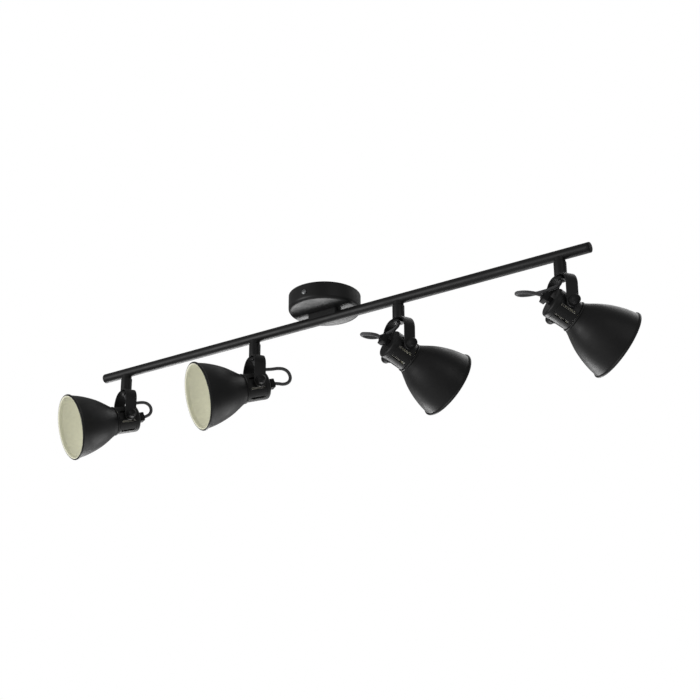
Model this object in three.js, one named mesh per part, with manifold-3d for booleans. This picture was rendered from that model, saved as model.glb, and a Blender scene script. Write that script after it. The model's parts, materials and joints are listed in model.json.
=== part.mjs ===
// Four-lamp ceiling spot bar: a round canopy carries a straight tube, and four lamp heads hang
// from it, each on a swivelling yoke. Millimetres, +Z up, +X along the bar.
// The origin is the centre of the face that lies against the ceiling.
import * as THREE from 'three';
import { mergeVertices } from 'three/addons/utils/BufferGeometryUtils.js';
import Module from 'manifold-3d';

const wasm = await Module();
wasm.setup();

// ---- driving dimensions -------------------------------------------------------------------
const GAP = 0.3; // clearance kept between neighbouring pieces

const CANOPY_RADIUS = 50;
const CANOPY_HEIGHT = 24;
const CANOPY_EDGE_RADIUS = 5;
const CANOPY_WALL = 1.2;
const CANOPY_SCREW_Z = -12.5;

const BAR_LENGTH = 800;
const BAR_RADIUS = 7;
const BAR_WALL = 1;
const SADDLE_HEIGHT = 3.5; // canopy underside to the crown of the bar
const SADDLE_LENGTH = 48;
const BAR_Z = -(CANOPY_HEIGHT + SADDLE_HEIGHT + BAR_RADIUS);
const HEAD_SPACING = 238;

const NIPPLE_RADIUS = 4.6;
const NIPPLE_HOLE = NIPPLE_RADIUS + GAP;

const STEM_RADIUS = 8.4;
const STEM_DROP = 29; // bar axis to the foot of the stem
const BOLT_RADIUS = 4.4;
const BOLT_BORE = 3.4;
const BOLT_HEAD_HEIGHT = 3.5;

const PIVOT_DROP = 74.5; // bar axis to the tilt axis
const YOKE_HALF_WIDTH = 27;
const YOKE_THICKNESS = 2;
const YOKE_STRIP = 16.5;
const YOKE_CORNER = 20;
const YOKE_HEIGHT = PIVOT_DROP - STEM_DROP - GAP; // tilt axis to the top of the yoke
const SCREW_RADIUS = 2.4;
const SCREW_HEAD_RADIUS = 6.8;
const SCREW_HEAD_HEIGHT = 12;

const HOUSING_RADIUS = 20;
const HOUSING_BACK = -18.5; // measured along the head's axis from the tilt axis
const HOUSING_FRONT = 15;
const HOUSING_EDGE_RADIUS = 5;
const HOUSING_WALL = 1.2;
const BOSS_RADIUS = 5.5;
const VENT_COUNT = 8;
const VENT_LENGTH = 22;
const VENT_WIDTH = 3.4;

const MOUTH = 85; // tilt axis to the mouth plane of the shade
const SHADE_WALL = 1;
const HOLDER_RADIUS = 11;
const HOLDER_FRONT = 8;
const GLAND_WIDTH = 13;
const GLAND_BLOCK = [-30.2, -23.4]; // along the head's axis
const GLAND_END = -32;
const CORD_START = -33;
const CORD_RADIUS = 2.4;

// Heads from left to right: azimuth of the head's axis, its tilt below level, and the route of
// its cord. Route points are (forward, left, up) from the tilt axis in the yoke's own frame.
const CORD_IN_BOLT = [[0, 0, 41.2], [0, 0, 48.4], [0, 0, 60]];
const HEADS = [
  {
    azimuth: 241,
    tilt: 17.5,
    route: [
      [-35, 0, 12.1], [-38.6, 0, 15.1], [-40.7, 0, 19.4], [-40.8, 0, 24.2], [-38.6, 0, 28.6],
      [-34.6, 0, 31.4], [-29.8, 0, 32.3], [-23.8, 0, 31.4], [-17.5, 0, 29.6], [-11, 0, 28.4],
      [-6.9, 0, 29.2], [-3.2, 0, 31.6], [-0.8, 0, 35.3],
    ],
  },
  {
    azimuth: 235,
    tilt: 17.5,
    route: [
      [-36.8, 0, 10.4], [-42.6, 0, 10.6], [-48, 0, 12.4], [-52.2, 0, 16.2], [-53.8, 0, 21.6],
      [-52.4, 0, 27.2], [-48.6, 0, 31.6], [-43, 0, 33.8], [-35, 0, 33.4], [-26, 0, 31],
      [-17.5, 0, 29.2], [-11, 0, 28.4], [-6.9, 0, 29.2], [-3.2, 0, 31.6], [-0.8, 0, 35.3],
    ],
  },
  {
    azimuth: 64,
    tilt: 23.5,
    route: [
      [-34.6, 0, 14.4], [-38.8, 0.2, 14.6], [-43.8, 1.6, 14.8], [-47.8, 5.4, 15.6], [-49.4, 10.8, 17.2],
      [-47.8, 16.2, 18.6], [-43.6, 20.2, 19.6], [-37.6, 21.4, 19.4], [-30.4, 19.6, 19.2], [-22.8, 15.6, 20.2],
      [-15.6, 10.6, 23], [-9.4, 5.4, 27], [-4.3, 1.7, 31.4], [-1.1, 0.2, 36],
    ],
  },
  {
    azimuth: 54,
    tilt: 26.5,
    route: [
      [-36, 0, 15.5], [-42, 0, 15.6], [-47.4, 0.5, 15.6], [-51.8, 2.4, 15.9], [-55.2, 6.2, 16.7],
      [-56.4, 11.2, 18], [-55, 16.4, 19.3], [-50.8, 20.4, 20.4], [-44.6, 21.6, 21.2], [-36.4, 19.6, 22.3],
      [-27.8, 15.2, 23.8], [-19.6, 9.8, 25.6], [-12.2, 4.8, 27.8], [-6.1, 1.3, 30.8], [-1.7, 0.1, 35.2],
    ],
  },
];

// ---- materials ------------------------------------------------------------------------------
const material = (color, roughness, metalness) =>
  new THREE.MeshStandardMaterial({ color, roughness, metalness });
const blackCoat = () => material(0x121212, 0.55, 0.2);
const blackPlastic = () => material(0x171717, 0.5, 0);
const creamEnamel = () => material(0xd9d6bf, 0.45, 0);
const zinc = () => material(0xb5b8ba, 0.35, 0.9);
const braid = () => material(0x3a3a3c, 0.9, 0);
const ceramic = () => material(0xeeeae0, 0.5, 0);
const terminal = () => material(0xe6e2d4, 0.5, 0);

// ---- geometry helpers -----------------------------------------------------------------------
// A geometry reduced to shared positions, with its faces turned outward.
function closed(geometry) {
  const bare = geometry.clone();
  for (const name of Object.keys(bare.attributes)) {
    if (name !== 'position') bare.deleteAttribute(name);
  }
  const welded = mergeVertices(bare, 1e-4);
  const place = welded.attributes.position;
  const corners = welded.index.array;
  const faces = [];
  let volume = 0;
  const a = new THREE.Vector3();
  const b = new THREE.Vector3();
  const c = new THREE.Vector3();
  for (let i = 0; i < corners.length; i += 3) {
    const [p, q, r] = [corners[i], corners[i + 1], corners[i + 2]];
    if (p === q || q === r || r === p) continue;
    a.fromBufferAttribute(place, p);
    b.fromBufferAttribute(place, q);
    c.fromBufferAttribute(place, r);
    volume += a.dot(b.cross(c));
    faces.push(p, q, r);
  }
  if (volume < 0) faces.reverse();
  welded.setIndex(faces);
  return welded;
}

function solid(geometry) {
  const mesh = closed(geometry);
  return new wasm.Manifold(new wasm.Mesh({
    numProp: 3,
    vertProperties: new Float32Array(mesh.attributes.position.array),
    triVerts: new Uint32Array(mesh.index.array),
  }));
}

function fromSolid(body) {
  const mesh = body.getMesh();
  const geometry = new THREE.BufferGeometry();
  geometry.setAttribute('position', new THREE.BufferAttribute(mesh.vertProperties, 3));
  geometry.setIndex(new THREE.BufferAttribute(mesh.triVerts, 1));
  return geometry;
}

const joined = (...parts) => fromSolid(parts.map(solid).reduce((sum, part) => sum.add(part)));

function cut(base, ...tools) {
  return fromSolid(tools.map(solid).reduce((rest, tool) => rest.subtract(tool), solid(base)));
}

// A lathed solid about the named axis; each profile point is [along the axis, radius].
function turned(profile, axis, segments) {
  const points = profile.map(([along, radius]) => new THREE.Vector2(radius, along));
  const geometry = closed(new THREE.LatheGeometry(points, segments));
  if (axis === 'x') geometry.rotateZ(-Math.PI / 2);
  if (axis === 'z') geometry.rotateX(Math.PI / 2);
  return geometry;
}

// A plain rod about the named axis between two places on it.
function rod(radius, from, to, axis, segments = 16) {
  return turned([[from, 0], [from, radius], [to, radius], [to, 0]], axis, segments);
}

// A ring: its profile closes on itself, clear of the axis.
const ring = (profile, axis, segments) => turned([...profile, profile[0]], axis, segments);

function block(x, y, z) {
  return new THREE.BoxGeometry(x[1] - x[0], y[1] - y[0], z[1] - z[0])
    .translate((x[0] + x[1]) / 2, (y[0] + y[1]) / 2, (z[0] + z[1]) / 2);
}

// Quarter round from one angle to the next, as [along, radius] points.
function quarterRound(centre, radius, from, to, steps) {
  return Array.from({ length: steps + 1 }, (_, i) => {
    const angle = THREE.MathUtils.degToRad(from + ((to - from) * i) / steps);
    return [centre[0] + radius * Math.cos(angle), centre[1] + radius * Math.sin(angle)];
  });
}

function hexagon(acrossFlats, from, to) {
  return turned([[from, 0], [from, acrossFlats / Math.sqrt(3)], [to, acrossFlats / Math.sqrt(3)], [to, 0]], 'z', 6);
}

const root = new THREE.Group();

function add(group, name, geometry, finish) {
  const mesh = new THREE.Mesh(geometry, finish);
  mesh.name = name;
  group.add(mesh);
  return mesh;
}

// ---- canopy and what it holds -----------------------------------------------------------------
const canopyInside = CANOPY_RADIUS - CANOPY_WALL;
const edgeCentre = [-(CANOPY_HEIGHT - CANOPY_EDGE_RADIUS), CANOPY_RADIUS - CANOPY_EDGE_RADIUS];

function canopyCover() {
  const shell = ring([
    [0, CANOPY_RADIUS],
    ...quarterRound(edgeCentre, CANOPY_EDGE_RADIUS, 90, 180, 3),
    [-CANOPY_HEIGHT, NIPPLE_HOLE],
    [-CANOPY_HEIGHT + CANOPY_WALL, NIPPLE_HOLE],
    ...quarterRound(edgeCentre, CANOPY_EDGE_RADIUS - CANOPY_WALL, 180, 90, 3),
    [0, canopyInside],
  ], 'z', 32);
  const screwHoles = rod(2.2, -60, 60, 'y', 8).translate(0, 0, CANOPY_SCREW_Z);
  return cut(shell, screwHoles);
}

const BRACKET_HALF_LENGTH = 47;
const BRACKET_HALF_WIDTH = 11;
const BRACKET_STEEL = 1.5;

function ceilingBracket() {
  const strip = block([-BRACKET_HALF_WIDTH, BRACKET_HALF_WIDTH],
    [-BRACKET_HALF_LENGTH, BRACKET_HALF_LENGTH], [-BRACKET_STEEL, 0]);
  const tabs = [-1, 1].map((side) => {
    const outer = side * BRACKET_HALF_LENGTH;
    const inner = side * (BRACKET_HALF_LENGTH - BRACKET_STEEL);
    return block([-7, 7], [Math.min(outer, inner), Math.max(outer, inner)], [-17, -BRACKET_STEEL / 2]);
  });
  const fixingSlots = [-1, 1].map((side) => block([-2.3, 2.3], [side * 36 - 5, side * 36 + 5], [-3, 3]));
  return cut(
    joined(strip, ...tabs),
    ...fixingSlots,
    rod(5, -3, 3, 'z', 14).translate(0, 13, 0),
    rod(1.9, -3, 3, 'z', 10).translate(0, 24, 0),
    rod(1.7, -60, 60, 'y', 10).translate(0, 0, CANOPY_SCREW_Z),
  );
}

function canopyScrew() {
  return turned([[44, 0], [44, 1.4], [50.3, 1.4], [50.3, 3.6], [51.4, 3.6], [52.4, 2.4], [52.4, 1.2], [51.4, 0]],
    'y', 12);
}

function saddleBlock() {
  const body = block([-SADDLE_LENGTH / 2, SADDLE_LENGTH / 2], [-BAR_RADIUS, BAR_RADIUS],
    [BAR_Z + 2, -CANOPY_HEIGHT - GAP]);
  return cut(
    body,
    rod(BAR_RADIUS + GAP, -30, 30, 'x', 24).translate(0, 0, BAR_Z),
    rod(NIPPLE_HOLE, -40, -20, 'z', 14),
  );
}

const canopyFloor = -CANOPY_HEIGHT + CANOPY_WALL;
const washerTop = canopyFloor + GAP + 1;
const nutTop = washerTop + GAP + 5;

add(root, 'ceiling_bracket', ceilingBracket(), zinc());
add(root, 'canopy_cover', canopyCover(), blackCoat());
add(root, 'canopy_screw_back', canopyScrew(), zinc()).position.set(0, 0, CANOPY_SCREW_Z);
const frontScrew = add(root, 'canopy_screw_front', canopyScrew(), zinc());
frontScrew.position.set(0, 0, CANOPY_SCREW_Z);
frontScrew.rotation.z = Math.PI;
add(root, 'earth_screw', turned([[-6, 0], [-6, 3.2], [-3.4, 3.4], [-3.4, 1.6], [-1.8, 1.6], [-1.8, 0]], 'z', 12)
  .translate(0, 24, 1.6), zinc());
add(root, 'terminal_block', block([-9, 9], [-32, -16], [-13, -BRACKET_STEEL - GAP]), terminal());
add(root, 'saddle_block', saddleBlock(), blackCoat());
add(root, 'threaded_nipple', ring([[BAR_Z + 4, NIPPLE_RADIUS], [-12, NIPPLE_RADIUS], [-12, 3.4],
  [BAR_Z + 4, 3.4]], 'z', 14), zinc());
add(root, 'lock_washer', ring([[canopyFloor + GAP, 8.5], [washerTop, 8.5], [washerTop, NIPPLE_HOLE],
  [canopyFloor + GAP, NIPPLE_HOLE]], 'z', 16), zinc());
add(root, 'hex_nut', cut(hexagon(13, washerTop + GAP, nutTop), rod(NIPPLE_HOLE, -40, 0, 'z', 14)), zinc());

// ---- bar --------------------------------------------------------------------------------------
const CAP_LENGTH = 3;
const tubeEnd = BAR_LENGTH / 2 - CAP_LENGTH - GAP;
const stemPlaces = [-1.5, -0.5, 0.5, 1.5].map((step) => step * HEAD_SPACING);

function barTube() {
  const bore = BAR_RADIUS - BAR_WALL;
  const tube = ring([[-tubeEnd, BAR_RADIUS], [tubeEnd, BAR_RADIUS], [tubeEnd, bore], [-tubeEnd, bore]], 'x', 16);
  const cordHoles = stemPlaces.map((x) => rod(3.6, -9, 0, 'z', 8).translate(x, 0, 0));
  return cut(tube, rod(NIPPLE_HOLE, 0, 9, 'z', 14), ...cordHoles);
}

function endCap() {
  const end = BAR_LENGTH / 2;
  const face = end - CAP_LENGTH;
  const plug = BAR_RADIUS - BAR_WALL - GAP;
  return turned([[face - 9, 0], [face - 9, plug], [face, plug], [face, BAR_RADIUS], [end - 1.5, BAR_RADIUS],
    [end - 0.4, BAR_RADIUS - 1.1], [end, BAR_RADIUS - 2.2], [end, 0]], 'x', 16);
}

add(root, 'bar_tube', barTube(), blackCoat()).position.z = BAR_Z;
add(root, 'bar_end_cap_right', endCap(), blackPlastic()).position.z = BAR_Z;
const leftCap = add(root, 'bar_end_cap_left', endCap(), blackPlastic());
leftCap.position.z = BAR_Z;
leftCap.rotation.z = Math.PI;
add(root, 'wiring_loom', rod(2.2, -360, 360, 'x', 8), blackPlastic()).position.z = BAR_Z - 2;

// ---- stem and swivel ----------------------------------------------------------------------------
function stem() {
  const boreTop = BOLT_RADIUS + GAP;
  const sleeve = ring([
    [-4, 7.2], [-9, 7.2], [-10.4, STEM_RADIUS], [-STEM_DROP + 0.6, STEM_RADIUS], [-STEM_DROP, STEM_RADIUS - 0.6],
    [-STEM_DROP, boreTop], [-19, boreTop], [-19, 3.6], [-4, 3.6],
  ], 'z', 14);
  return cut(sleeve, rod(BAR_RADIUS + GAP, -20, 20, 'x', 16));
}

function swivelBolt() {
  const headTop = -STEM_DROP - 2 * GAP - YOKE_THICKNESS;
  const body = joined(hexagon(14, headTop - BOLT_HEAD_HEIGHT, headTop), rod(BOLT_RADIUS, headTop - 1, -20, 'z', 10));
  return cut(body, rod(BOLT_BORE, -60, 0, 'z', 10));
}

// ---- yoke: its own frame has the tilt axis at the origin, along Y, and the stem above it ----------
function yoke() {
  const straight = YOKE_HEIGHT - YOKE_CORNER;
  const cornerSteps = 4;
  const outline = (inset) => {
    const half = YOKE_HALF_WIDTH - inset;
    const middle = [half + inset - YOKE_CORNER, straight];
    const right = quarterRound(middle, YOKE_CORNER - inset, 0, 90, cornerSteps);
    const left = right.map(([y, z]) => [-y, z]).reverse();
    return [[half, -YOKE_STRIP / 2], ...right, ...left, [-half, -YOKE_STRIP / 2]];
  };
  const points = [...outline(0), ...outline(YOKE_THICKNESS).reverse()].map(([y, z]) => new THREE.Vector2(y, z));
  const strip = new THREE.ExtrudeGeometry(new THREE.Shape(points), { depth: YOKE_STRIP, bevelEnabled: false });
  strip.translate(0, 0, -YOKE_STRIP / 2).rotateX(Math.PI / 2).rotateZ(Math.PI / 2);
  const half = YOKE_STRIP / 2;
  const side = new THREE.Shape();
  side.moveTo(half, YOKE_HEIGHT + 5);
  side.lineTo(-half, YOKE_HEIGHT + 5);
  side.lineTo(-half, 0);
  side.absarc(0, 0, half, Math.PI, 2 * Math.PI, false);
  const width = 2 * YOKE_HALF_WIDTH + 10;
  const rounding = new THREE.ExtrudeGeometry(side, { depth: width, bevelEnabled: false, curveSegments: 6 });
  rounding.translate(0, 0, -width / 2).rotateX(Math.PI / 2);
  const shaped = solid(strip).intersect(solid(rounding));
  const screwHoles = solid(rod(SCREW_RADIUS + GAP, -40, 40, 'y', 8));
  const boltHole = solid(rod(BOLT_RADIUS + GAP, 30, 50, 'z', 10));
  return fromSolid(shaped.subtract(screwHoles).subtract(boltHole));
}

function cordTube(tilt, route) {
  const angle = THREE.MathUtils.degToRad(tilt);
  const points = [[CORD_START * Math.cos(angle), 0, -CORD_START * Math.sin(angle)], ...route, ...CORD_IN_BOLT]
    .map((point) => new THREE.Vector3(...point));
  const sides = 8;
  const section = new THREE.Shape(Array.from({ length: sides }, (_, i) => {
    const turn = (2 * Math.PI * i) / sides;
    return new THREE.Vector2(CORD_RADIUS * Math.cos(turn), CORD_RADIUS * Math.sin(turn));
  }));
  const path = new THREE.CatmullRomCurve3(points, false, 'centripetal');
  return closed(new THREE.ExtrudeGeometry(section, { steps: 30, extrudePath: path, bevelEnabled: false }));
}

// ---- head: its own frame has the tilt axis at the origin, along Y, and the mouth towards +X -------
function pivotScrew() {
  const seat = YOKE_HALF_WIDTH + GAP;
  const end = seat + SCREW_HEAD_HEIGHT;
  return turned([[20.5, 0], [20.5, SCREW_RADIUS], [seat, SCREW_RADIUS], [seat, SCREW_HEAD_RADIUS],
    [end - 4, SCREW_HEAD_RADIUS], [end - 1.2, SCREW_HEAD_RADIUS * 0.7], [end, 0]], 'y', 10);
}

function housing() {
  const corner = [HOUSING_BACK + HOUSING_EDGE_RADIUS, HOUSING_RADIUS - HOUSING_EDGE_RADIUS];
  const cup = ring([
    [HOUSING_FRONT, HOUSING_RADIUS],
    ...quarterRound(corner, HOUSING_EDGE_RADIUS, 90, 180, 2),
    [HOUSING_BACK, 3.4],
    [HOUSING_BACK + HOUSING_WALL, 3.4],
    ...quarterRound(corner, HOUSING_EDGE_RADIUS - HOUSING_WALL, 180, 90, 2),
    [HOUSING_FRONT, HOUSING_RADIUS - HOUSING_WALL],
  ], 'x', 16);
  const bossEnd = YOKE_HALF_WIDTH - YOKE_THICKNESS - 0.5;
  const bosses = [-1, 1].map((side) => rod(BOSS_RADIUS, side * (HOUSING_RADIUS - 0.9), side * bossEnd, 'y', 10));
  const vents = Array.from({ length: VENT_COUNT }, (_, i) => {
    const turn = (2 * Math.PI * (i + 0.5)) / VENT_COUNT;
    return block([-VENT_LENGTH / 2 + 1, VENT_LENGTH / 2 + 1], [-VENT_WIDTH / 2, VENT_WIDTH / 2],
      [HOUSING_RADIUS - 3, HOUSING_RADIUS + 3]).rotateX(turn);
  });
  return cut(joined(cup, ...bosses), rod(SCREW_RADIUS + GAP, -40, 40, 'y', 8), ...vents);
}

// The bell of the shade: outer radius along the head's axis, from the neck to the rim.
const BELL = [[19, 21.1], [24, 23.9], [31, 28.3], [41, 34.1], [53, 39.3], [67, 43.8], [81, 46.6]];
const NECK_BEAD_RADIUS = 21.4;
const RIM_RADIUS = 48.2;

function shade() {
  const neck = HOUSING_FRONT + GAP;
  const inside = BELL.map(([along, radius]) => [along, radius - SHADE_WALL]).reverse();
  return ring([
    [neck, NECK_BEAD_RADIUS], [18.3, NECK_BEAD_RADIUS], ...BELL, [MOUTH - 2.6, RIM_RADIUS], [MOUTH, RIM_RADIUS],
    [MOUTH, RIM_RADIUS - 2], ...inside, [neck, 19.2],
  ], 'x', 18);
}

function lampholder() {
  const back = HOUSING_BACK + HOUSING_WALL + GAP;
  return turned([[back, 0], [back, HOLDER_RADIUS], [HOLDER_FRONT - 1, HOLDER_RADIUS], [HOLDER_FRONT, HOLDER_RADIUS - 1],
    [HOLDER_FRONT, 0]], 'x', 12);
}

function lamp() {
  const base = HOLDER_FRONT + GAP;
  return turned([[base, 0], [base, 8.6], [13, 10], [34, 21], [42, 24.6], [48, 25], [50, 23.4], [51, 0]], 'x', 14);
}

function gland() {
  const flange = HOUSING_BACK - GAP;
  const half = GLAND_WIDTH / 2;
  return joined(
    block(GLAND_BLOCK, [-half, half], [-half, half]),
    rod(4.2, GLAND_END, GLAND_BLOCK[0] + 1, 'x', 10),
    rod(4.8, GLAND_BLOCK[1] - 1, flange, 'x', 10),
    rod(3, flange - 1, HOUSING_BACK + HOUSING_WALL, 'x', 8),
  );
}

stemPlaces.forEach((x, index) => {
  const { azimuth, tilt, route } = HEADS[index];
  const number = index + 1;

  add(root, `stem_${number}`, stem(), blackCoat()).position.set(x, 0, BAR_Z);
  add(root, `swivel_bolt_${number}`, swivelBolt(), blackCoat()).position.set(x, 0, BAR_Z);

  const arm = new THREE.Group();
  arm.position.set(x, 0, BAR_Z - PIVOT_DROP);
  arm.rotation.z = THREE.MathUtils.degToRad(azimuth);
  root.add(arm);
  add(arm, `yoke_${number}`, yoke(), blackCoat());
  add(arm, `cord_${number}`, cordTube(tilt, route), braid());

  const head = new THREE.Group();
  head.rotation.y = THREE.MathUtils.degToRad(tilt);
  arm.add(head);
  add(head, `pivot_screw_left_${number}`, pivotScrew(), blackPlastic());
  add(head, `pivot_screw_right_${number}`, pivotScrew(), blackPlastic()).rotation.z = Math.PI;
  add(head, `housing_${number}`, housing(), blackCoat());
  add(head, `shade_${number}`, shade(), creamEnamel());
  add(head, `lampholder_${number}`, lampholder(), ceramic());
  add(head, `lamp_${number}`, lamp(), ceramic());
  add(head, `cord_gland_${number}`, gland(), blackPlastic());
});

const group = root;
export default group;
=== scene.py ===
import json
import logging
import math
from dataclasses import dataclass
from enum import Enum
from typing import Callable, Iterable, Sequence

import bmesh
import bpy
from mathutils import Matrix, Vector


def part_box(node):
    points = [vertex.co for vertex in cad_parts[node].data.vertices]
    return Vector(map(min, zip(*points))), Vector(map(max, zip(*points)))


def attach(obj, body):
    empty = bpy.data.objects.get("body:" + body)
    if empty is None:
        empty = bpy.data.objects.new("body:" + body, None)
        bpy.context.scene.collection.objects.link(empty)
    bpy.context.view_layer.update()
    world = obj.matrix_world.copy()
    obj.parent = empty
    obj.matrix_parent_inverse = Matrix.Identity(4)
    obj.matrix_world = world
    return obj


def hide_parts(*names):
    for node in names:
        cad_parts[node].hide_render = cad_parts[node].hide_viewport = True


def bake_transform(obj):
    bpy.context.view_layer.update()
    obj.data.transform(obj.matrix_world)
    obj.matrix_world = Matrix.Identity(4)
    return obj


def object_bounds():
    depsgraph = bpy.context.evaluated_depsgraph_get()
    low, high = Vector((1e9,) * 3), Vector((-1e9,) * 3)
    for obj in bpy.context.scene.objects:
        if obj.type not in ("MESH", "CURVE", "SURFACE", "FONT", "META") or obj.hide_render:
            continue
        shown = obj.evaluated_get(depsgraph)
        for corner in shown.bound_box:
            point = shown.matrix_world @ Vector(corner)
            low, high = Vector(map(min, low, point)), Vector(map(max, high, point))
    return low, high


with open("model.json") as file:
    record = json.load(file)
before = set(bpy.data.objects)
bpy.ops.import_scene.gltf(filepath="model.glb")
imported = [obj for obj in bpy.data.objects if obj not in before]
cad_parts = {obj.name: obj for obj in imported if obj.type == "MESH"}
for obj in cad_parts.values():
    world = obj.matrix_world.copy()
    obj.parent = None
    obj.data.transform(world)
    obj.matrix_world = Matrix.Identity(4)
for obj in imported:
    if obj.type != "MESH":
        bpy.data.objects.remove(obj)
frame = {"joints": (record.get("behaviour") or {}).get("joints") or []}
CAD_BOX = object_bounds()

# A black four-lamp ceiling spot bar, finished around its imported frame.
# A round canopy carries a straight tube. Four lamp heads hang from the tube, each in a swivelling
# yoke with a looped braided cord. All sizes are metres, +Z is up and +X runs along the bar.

LOG = logging.getLogger("spot_bar")
TURN = 2 * math.pi
LOWEST_TILT = 60.0
WELD = 1e-6
Spot = tuple[float, float]
Colour = tuple[float, float, float]


# ---- finishes -----------------------------------------------------------------------------------
class Nodes:
    """A node tree with short ways to add, set and link its nodes."""

    def __init__(self, tree: bpy.types.NodeTree) -> None:
        """Keeps the tree that nodes are added to.

        Args:
            tree: The node tree of a material, a group or the world.
        """
        self.tree = tree

    def add(self, kind: str, **settings: object) -> bpy.types.Node:
        """Adds one node.

        Args:
            kind: The node's type name, without the "ShaderNode" in front.
            **settings: Properties of the node and their values.

        Returns:
            The new node.
        """
        node = self.tree.nodes.new("ShaderNode" + kind)
        for name, value in settings.items():
            setattr(node, name, value)
        return node

    def feed(self, node: bpy.types.Node, **inputs: object) -> bpy.types.Node:
        """Sets or links a node's inputs.

        Args:
            node: The node whose inputs are fed.
            **inputs: Socket names, with _ for a space or in_0 for a numbered one, each with a value
                or with the output socket that feeds it.

        Returns:
            The same node.
        """
        for name, value in inputs.items():
            key = int(name[3:]) if name.startswith("in_") else name.replace("_", " ")
            if isinstance(value, bpy.types.NodeSocket):
                self.tree.links.new(value, node.inputs[key])
            else:
                node.inputs[key].default_value = value
        return node

    def maths(self, operation: str, *values: object) -> bpy.types.NodeSocket:
        """Adds a Math node and returns its output.

        Args:
            operation: The operation's name, such as "MULTIPLY".
            *values: Its inputs in order, numbers or sockets.

        Returns:
            The node's output socket.
        """
        node = self.add("Math", operation=operation)
        self.feed(node, **{f"in_{place}": value for place, value in enumerate(values)})
        return node.outputs[0]

    def noise(self, vector: bpy.types.NodeSocket, scale: float,
              detail: float = 2.0) -> bpy.types.NodeSocket:
        """Adds a Noise Texture and returns its factor, which lies around one half.

        Args:
            vector: The place to read the noise at.
            scale: How many features there are in a metre.
            detail: How many finer layers are added.

        Returns:
            The factor output.
        """
        node = self.add("TexNoise")
        self.feed(node, Vector=vector, Scale=scale, Detail=detail, Roughness=0.55)
        return node.outputs["Fac"]

    def mapped(self, value: bpy.types.NodeSocket, low: float, high: float, to_low: float = 0.0,
               to_high: float = 1.0) -> bpy.types.NodeSocket:
        """Maps a value's range onto another, clamped at both ends.

        Args:
            value: The value to map.
            low: Where the value gives to_low.
            high: Where the value gives to_high.
            to_low: The result at low.
            to_high: The result at high.

        Returns:
            The mapped value's socket.
        """
        node = self.add("MapRange")
        self.feed(node, in_0=value, in_1=low, in_2=high, in_3=to_low, in_4=to_high)
        return node.outputs[0]

    def mixed(self, share: object, first: object, second: object) -> bpy.types.NodeSocket:
        """Mixes two colours.

        Args:
            share: How much of the second colour there is.
            first: The first colour, with alpha, or a socket.
            second: The second colour, with alpha, or a socket.

        Returns:
            The mixed colour's socket.
        """
        node = self.add("Mix", data_type="RGBA")
        self.feed(node, in_0=share, in_6=first, in_7=second)
        return node.outputs[2]


class Effect(Enum):
    """A surface effect that several finishes share, kept as a shader node group."""

    GRAIN = "fine_grain"
    WEAR = "edge_wear"
    DUST = "settled_dust"
    HANDLING = "handling_marks"

    def group(self) -> bpy.types.NodeTree:
        """Returns the effect's node group, built the first time that it is asked for."""
        found = bpy.data.node_groups.get(self.value)
        if found:
            return found
        tree = bpy.data.node_groups.new(self.value, "ShaderNodeTree")
        builders: dict[Effect, Callable[[Nodes], None]] = {
            Effect.GRAIN: build_grain,
            Effect.WEAR: build_wear,
            Effect.DUST: build_dust,
            Effect.HANDLING: build_handling,
        }
        builders[self](Nodes(tree))
        return tree


def sockets(tree: bpy.types.NodeTree, inputs: dict[str, object], outputs: Sequence[str]) -> tuple:
    """Makes a group's named sockets and its input and output nodes.

    Args:
        tree: The group's node tree.
        inputs: Input names, each with its default number or with "Vector" for a vector.
        outputs: Names of the outputs, which are all single values.

    Returns:
        The group's input node and its output node.
    """
    for name, value in inputs.items():
        kind = "NodeSocketVector" if value == "Vector" else "NodeSocketFloat"
        socket = tree.interface.new_socket(name, in_out="INPUT", socket_type=kind)
        if value != "Vector":
            socket.default_value = value
    for name in outputs:
        tree.interface.new_socket(name, in_out="OUTPUT", socket_type="NodeSocketFloat")
    return tree.nodes.new("NodeGroupInput"), tree.nodes.new("NodeGroupOutput")


def build_grain(nodes: Nodes) -> None:
    """Builds the orange-peel grain of a sprayed coat: fine pebbling over a slow swell.

    Args:
        nodes: The group's empty tree.
    """
    given, result = sockets(nodes.tree, {"Place": "Vector", "Pebbles per metre": 2600.0, "Swell": 0.3},
                            ["Height", "Tone"])
    pebbles = nodes.add("TexNoise")
    nodes.feed(pebbles, Vector=given.outputs["Place"], Scale=given.outputs["Pebbles per metre"], Detail=1.5)
    specks = nodes.add("TexVoronoi")
    nodes.feed(specks, Vector=given.outputs["Place"], Scale=given.outputs["Pebbles per metre"])
    swell = nodes.noise(given.outputs["Place"], 180.0, 2.0)
    rounded = nodes.maths("MULTIPLY", specks.outputs["Distance"], 0.35)
    fine = nodes.maths("ADD", pebbles.outputs["Fac"], rounded)
    height = nodes.maths("MULTIPLY_ADD", swell, given.outputs["Swell"], fine)
    nodes.tree.links.new(height, result.inputs["Height"])
    nodes.tree.links.new(nodes.mapped(swell, 0.3, 0.7), result.inputs["Tone"])


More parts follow.
